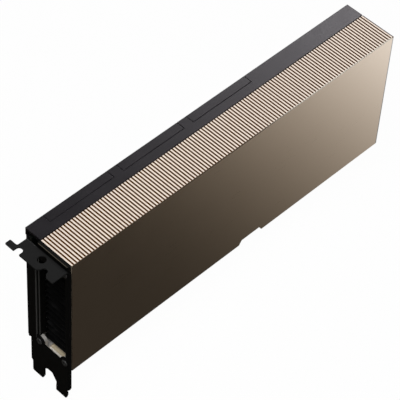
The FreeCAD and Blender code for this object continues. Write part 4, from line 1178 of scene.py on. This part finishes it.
@dataclass
class Studio:
    """The pale floor, the pale surround, the soft boxes and the camera."""

    floor_half: float = 12.0
    floor_gap: float = 0.05 * MM
    floor_colour: Colour = (0.82, 0.82, 0.82)
    floor_shade: float = 0.985
    floor_grain: float = 300.0
    camera_share: float = 0.975
    # The sweep is a painted reflection: a warm floor glow that only glossy rays see, dark before
    # the bracket and white past the tail.
    sweep_start: float = 0.067
    sweep_end: float = 0.385
    sweep_power: float = 2.75
    sweep_dark: float = 0.034
    sweep_painted_tint: Colour = (1.0, 0.83, 0.61)
    world_light: float = 0.06
    boxes: Sequence[SoftBox] = (
        SoftBox("top_box", (-0.3, -0.35, 1.2), (0.14, 0.0, 0.0), 1.1, 1.1, 18.0),
        SoftBox("sheen_box_1", (0.45, 0.3, 0.42), (0.45, 0.3, 0.0), 0.14, 0.8, 0.12, lights=False),
        SoftBox("sheen_box_2", (0.58, 0.3, 0.42), (0.58, 0.3, 0.0), 0.12, 0.8, 0.60, lights=False),
        SoftBox("sheen_box_3", (0.74, 0.3, 0.42), (0.74, 0.3, 0.0), 0.20, 0.8, 5.0, lights=False),
        SoftBox("back_box", (0.1, 1.4, 0.35), (0.14, 0.0, -0.05), 1.0, 0.8, 4.0),
    )
    camera_place: Triple = (-0.46176, -0.53398, 0.86300)
    azimuth: float = 0.840783
    dip: float = 0.852592
    roll: float = 0.07257
    lens: float = 181.906
    sensor: float = 36.0
    clip: Span = (0.01, 60.0)

    def see_white(self, graph: Graph) -> tuple[Value, Value]:
        """What of the plain white a ray sees.

        Args:
            graph: the floor's graph.

        Returns:
            How much of the white shows, and how white it is: reflections see a painted reflection,
            a warm glow that goes from dark before the bracket to white past the tail.
        """
        camera = graph.add("ShaderNodeLightPath", {}, {}, "Is Camera Ray")
        node = camera.socket.node
        shine = Value(graph, node.outputs["Is Glossy Ray"])
        through = Value(graph, node.outputs["Is Transmission Ray"])
        along = graph.add("ShaderNodeSeparateXYZ", {}, {0: graph.place()})
        reach = ((along - self.sweep_start) / (self.sweep_end - self.sweep_start)).greatest(0.0)
        sweep = (reach ** self.sweep_power + self.sweep_dark).least(1.0)
        white = 1.0 - shine * (1.0 - sweep)
        painted_warmth = graph.blend(white ** 0.5, self.sweep_painted_tint, (1.0, 1.0, 1.0))
        return (camera * self.camera_share + shine + through).least(1.0), graph.blend(
            white, (0.0, 0.0, 0.0), painted_warmth)

    def build_floor(self, level: float) -> None:
        """Lays the floor.

        Args:
            level: its height.
        """
        Shaper.drop_all()
        bpy.ops.mesh.primitive_plane_add(size=2 * self.floor_half, location=(0, 0, level))
        floor = bpy.context.active_object
        floor.name = "floor"
        bpy.ops.object.transform_apply(location=True, rotation=True, scale=True)
        graph = Graph("floor_paint")
        shade = tuple(c * self.floor_shade for c in self.floor_colour)
        tone = graph.blend(graph.noise(self.floor_grain, 2.0), self.floor_colour, shade)
        paint = graph.add("ShaderNodeBsdfDiffuse", {}, {"Color": tone})
        share, glow = self.see_white(graph)
        white = graph.add("ShaderNodeEmission", {}, {"Color": glow, "Strength": 1.0})
        graph.add_output(graph.add("ShaderNodeMixShader", {}, {0: share, 1: paint, 2: white}))
        floor.data.materials.append(graph.owner)
        floor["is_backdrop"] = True

    def build_world(self) -> None:
        """Sets the pale surround, white to the camera and dim to everything else."""
        graph = Graph("surround", world=True)
        camera = graph.add("ShaderNodeLightPath", {}, {}, "Is Camera Ray")
        plain = {"Color": (1.0, 1.0, 1.0, 1.0)}
        dim, white = (graph.add("ShaderNodeBackground", {}, {**plain, "Strength": power})
                      for power in (self.world_light, 1.0))
        graph.add_output(graph.add("ShaderNodeMixShader", {}, {0: camera, 1: dim, 2: white}))
        bpy.context.scene.world = graph.owner

    def build_camera(self) -> None:
        """Sets the camera at its place, bearing, dip and roll."""
        east = Vector((math.cos(self.azimuth), -math.sin(self.azimuth), 0.0))
        ahead = Vector((math.cos(self.dip) * math.sin(self.azimuth),
                        math.cos(self.dip) * math.cos(self.azimuth), -math.sin(self.dip)))
        up = east.cross(ahead)
        right = math.cos(self.roll) * east + math.sin(self.roll) * up
        top = math.cos(self.roll) * up - math.sin(self.roll) * east
        lens = bpy.data.cameras.new("studio_camera")
        lens.lens = self.lens
        lens.sensor_width = self.sensor
        lens.clip_start, lens.clip_end = self.clip
        camera = bpy.data.objects.new("studio_camera", lens)
        turn = Matrix((right, top, -ahead)).transposed().to_4x4()
        camera.matrix_world = Matrix.Translation(Vector(self.camera_place)) @ turn
        bpy.context.scene.collection.objects.link(camera)
        bpy.context.scene.camera = camera

    def build(self) -> None:
        """Sets the whole studio round the card."""
        low, _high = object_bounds()
        self.build_floor(low.z - self.floor_gap)
        self.build_world()
        for box in self.boxes:
            box.build()
        self.build_camera()
        bpy.context.scene.view_settings.view_transform = "Standard"
        LOG.info("studio: %d soft boxes", len(self.boxes))


def main() -> None:
    """Builds the card's looks and the studio, in order."""
    logging.basicConfig(level=logging.INFO, format="%(name)s: %(message)s")
    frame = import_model()
    palette = Palette()
    palette.build()
    shop = Workshop(frame["nodes"], palette)
    slots = {part["node"]: part["material_slot"] for part in frame["record"]["subparts"]}
    for name, node in frame["nodes"].items():
        palette.dress(node, slots[name])
    Shell(shop).build()
    FrontEnd(shop).build()
    TailEnd(shop).build()
    for screws in (
        Screws(shop, "cover_screws", "screw_black", Axis.FACE, 2.3 * MM, 0.9 * MM, sunk=True),
        Screws(shop, "bracket_screws", "screw_black", Axis.TAIL, 2.2 * MM, 0.75 * MM, sunk=False),
        Screws(shop, "shroud_screws", "screw_black", Axis.UP, 2.2 * MM, 1.0 * MM, sunk=True),
        Screws(shop, "heatsink_screws", "screw_steel", Axis.FACE, 2.6 * MM, 0.7 * MM, sunk=False),
    ):
        screws.build()
    BoardChips(shop).build()
    Studio().build()


if __name__ == "__main__":
    main()
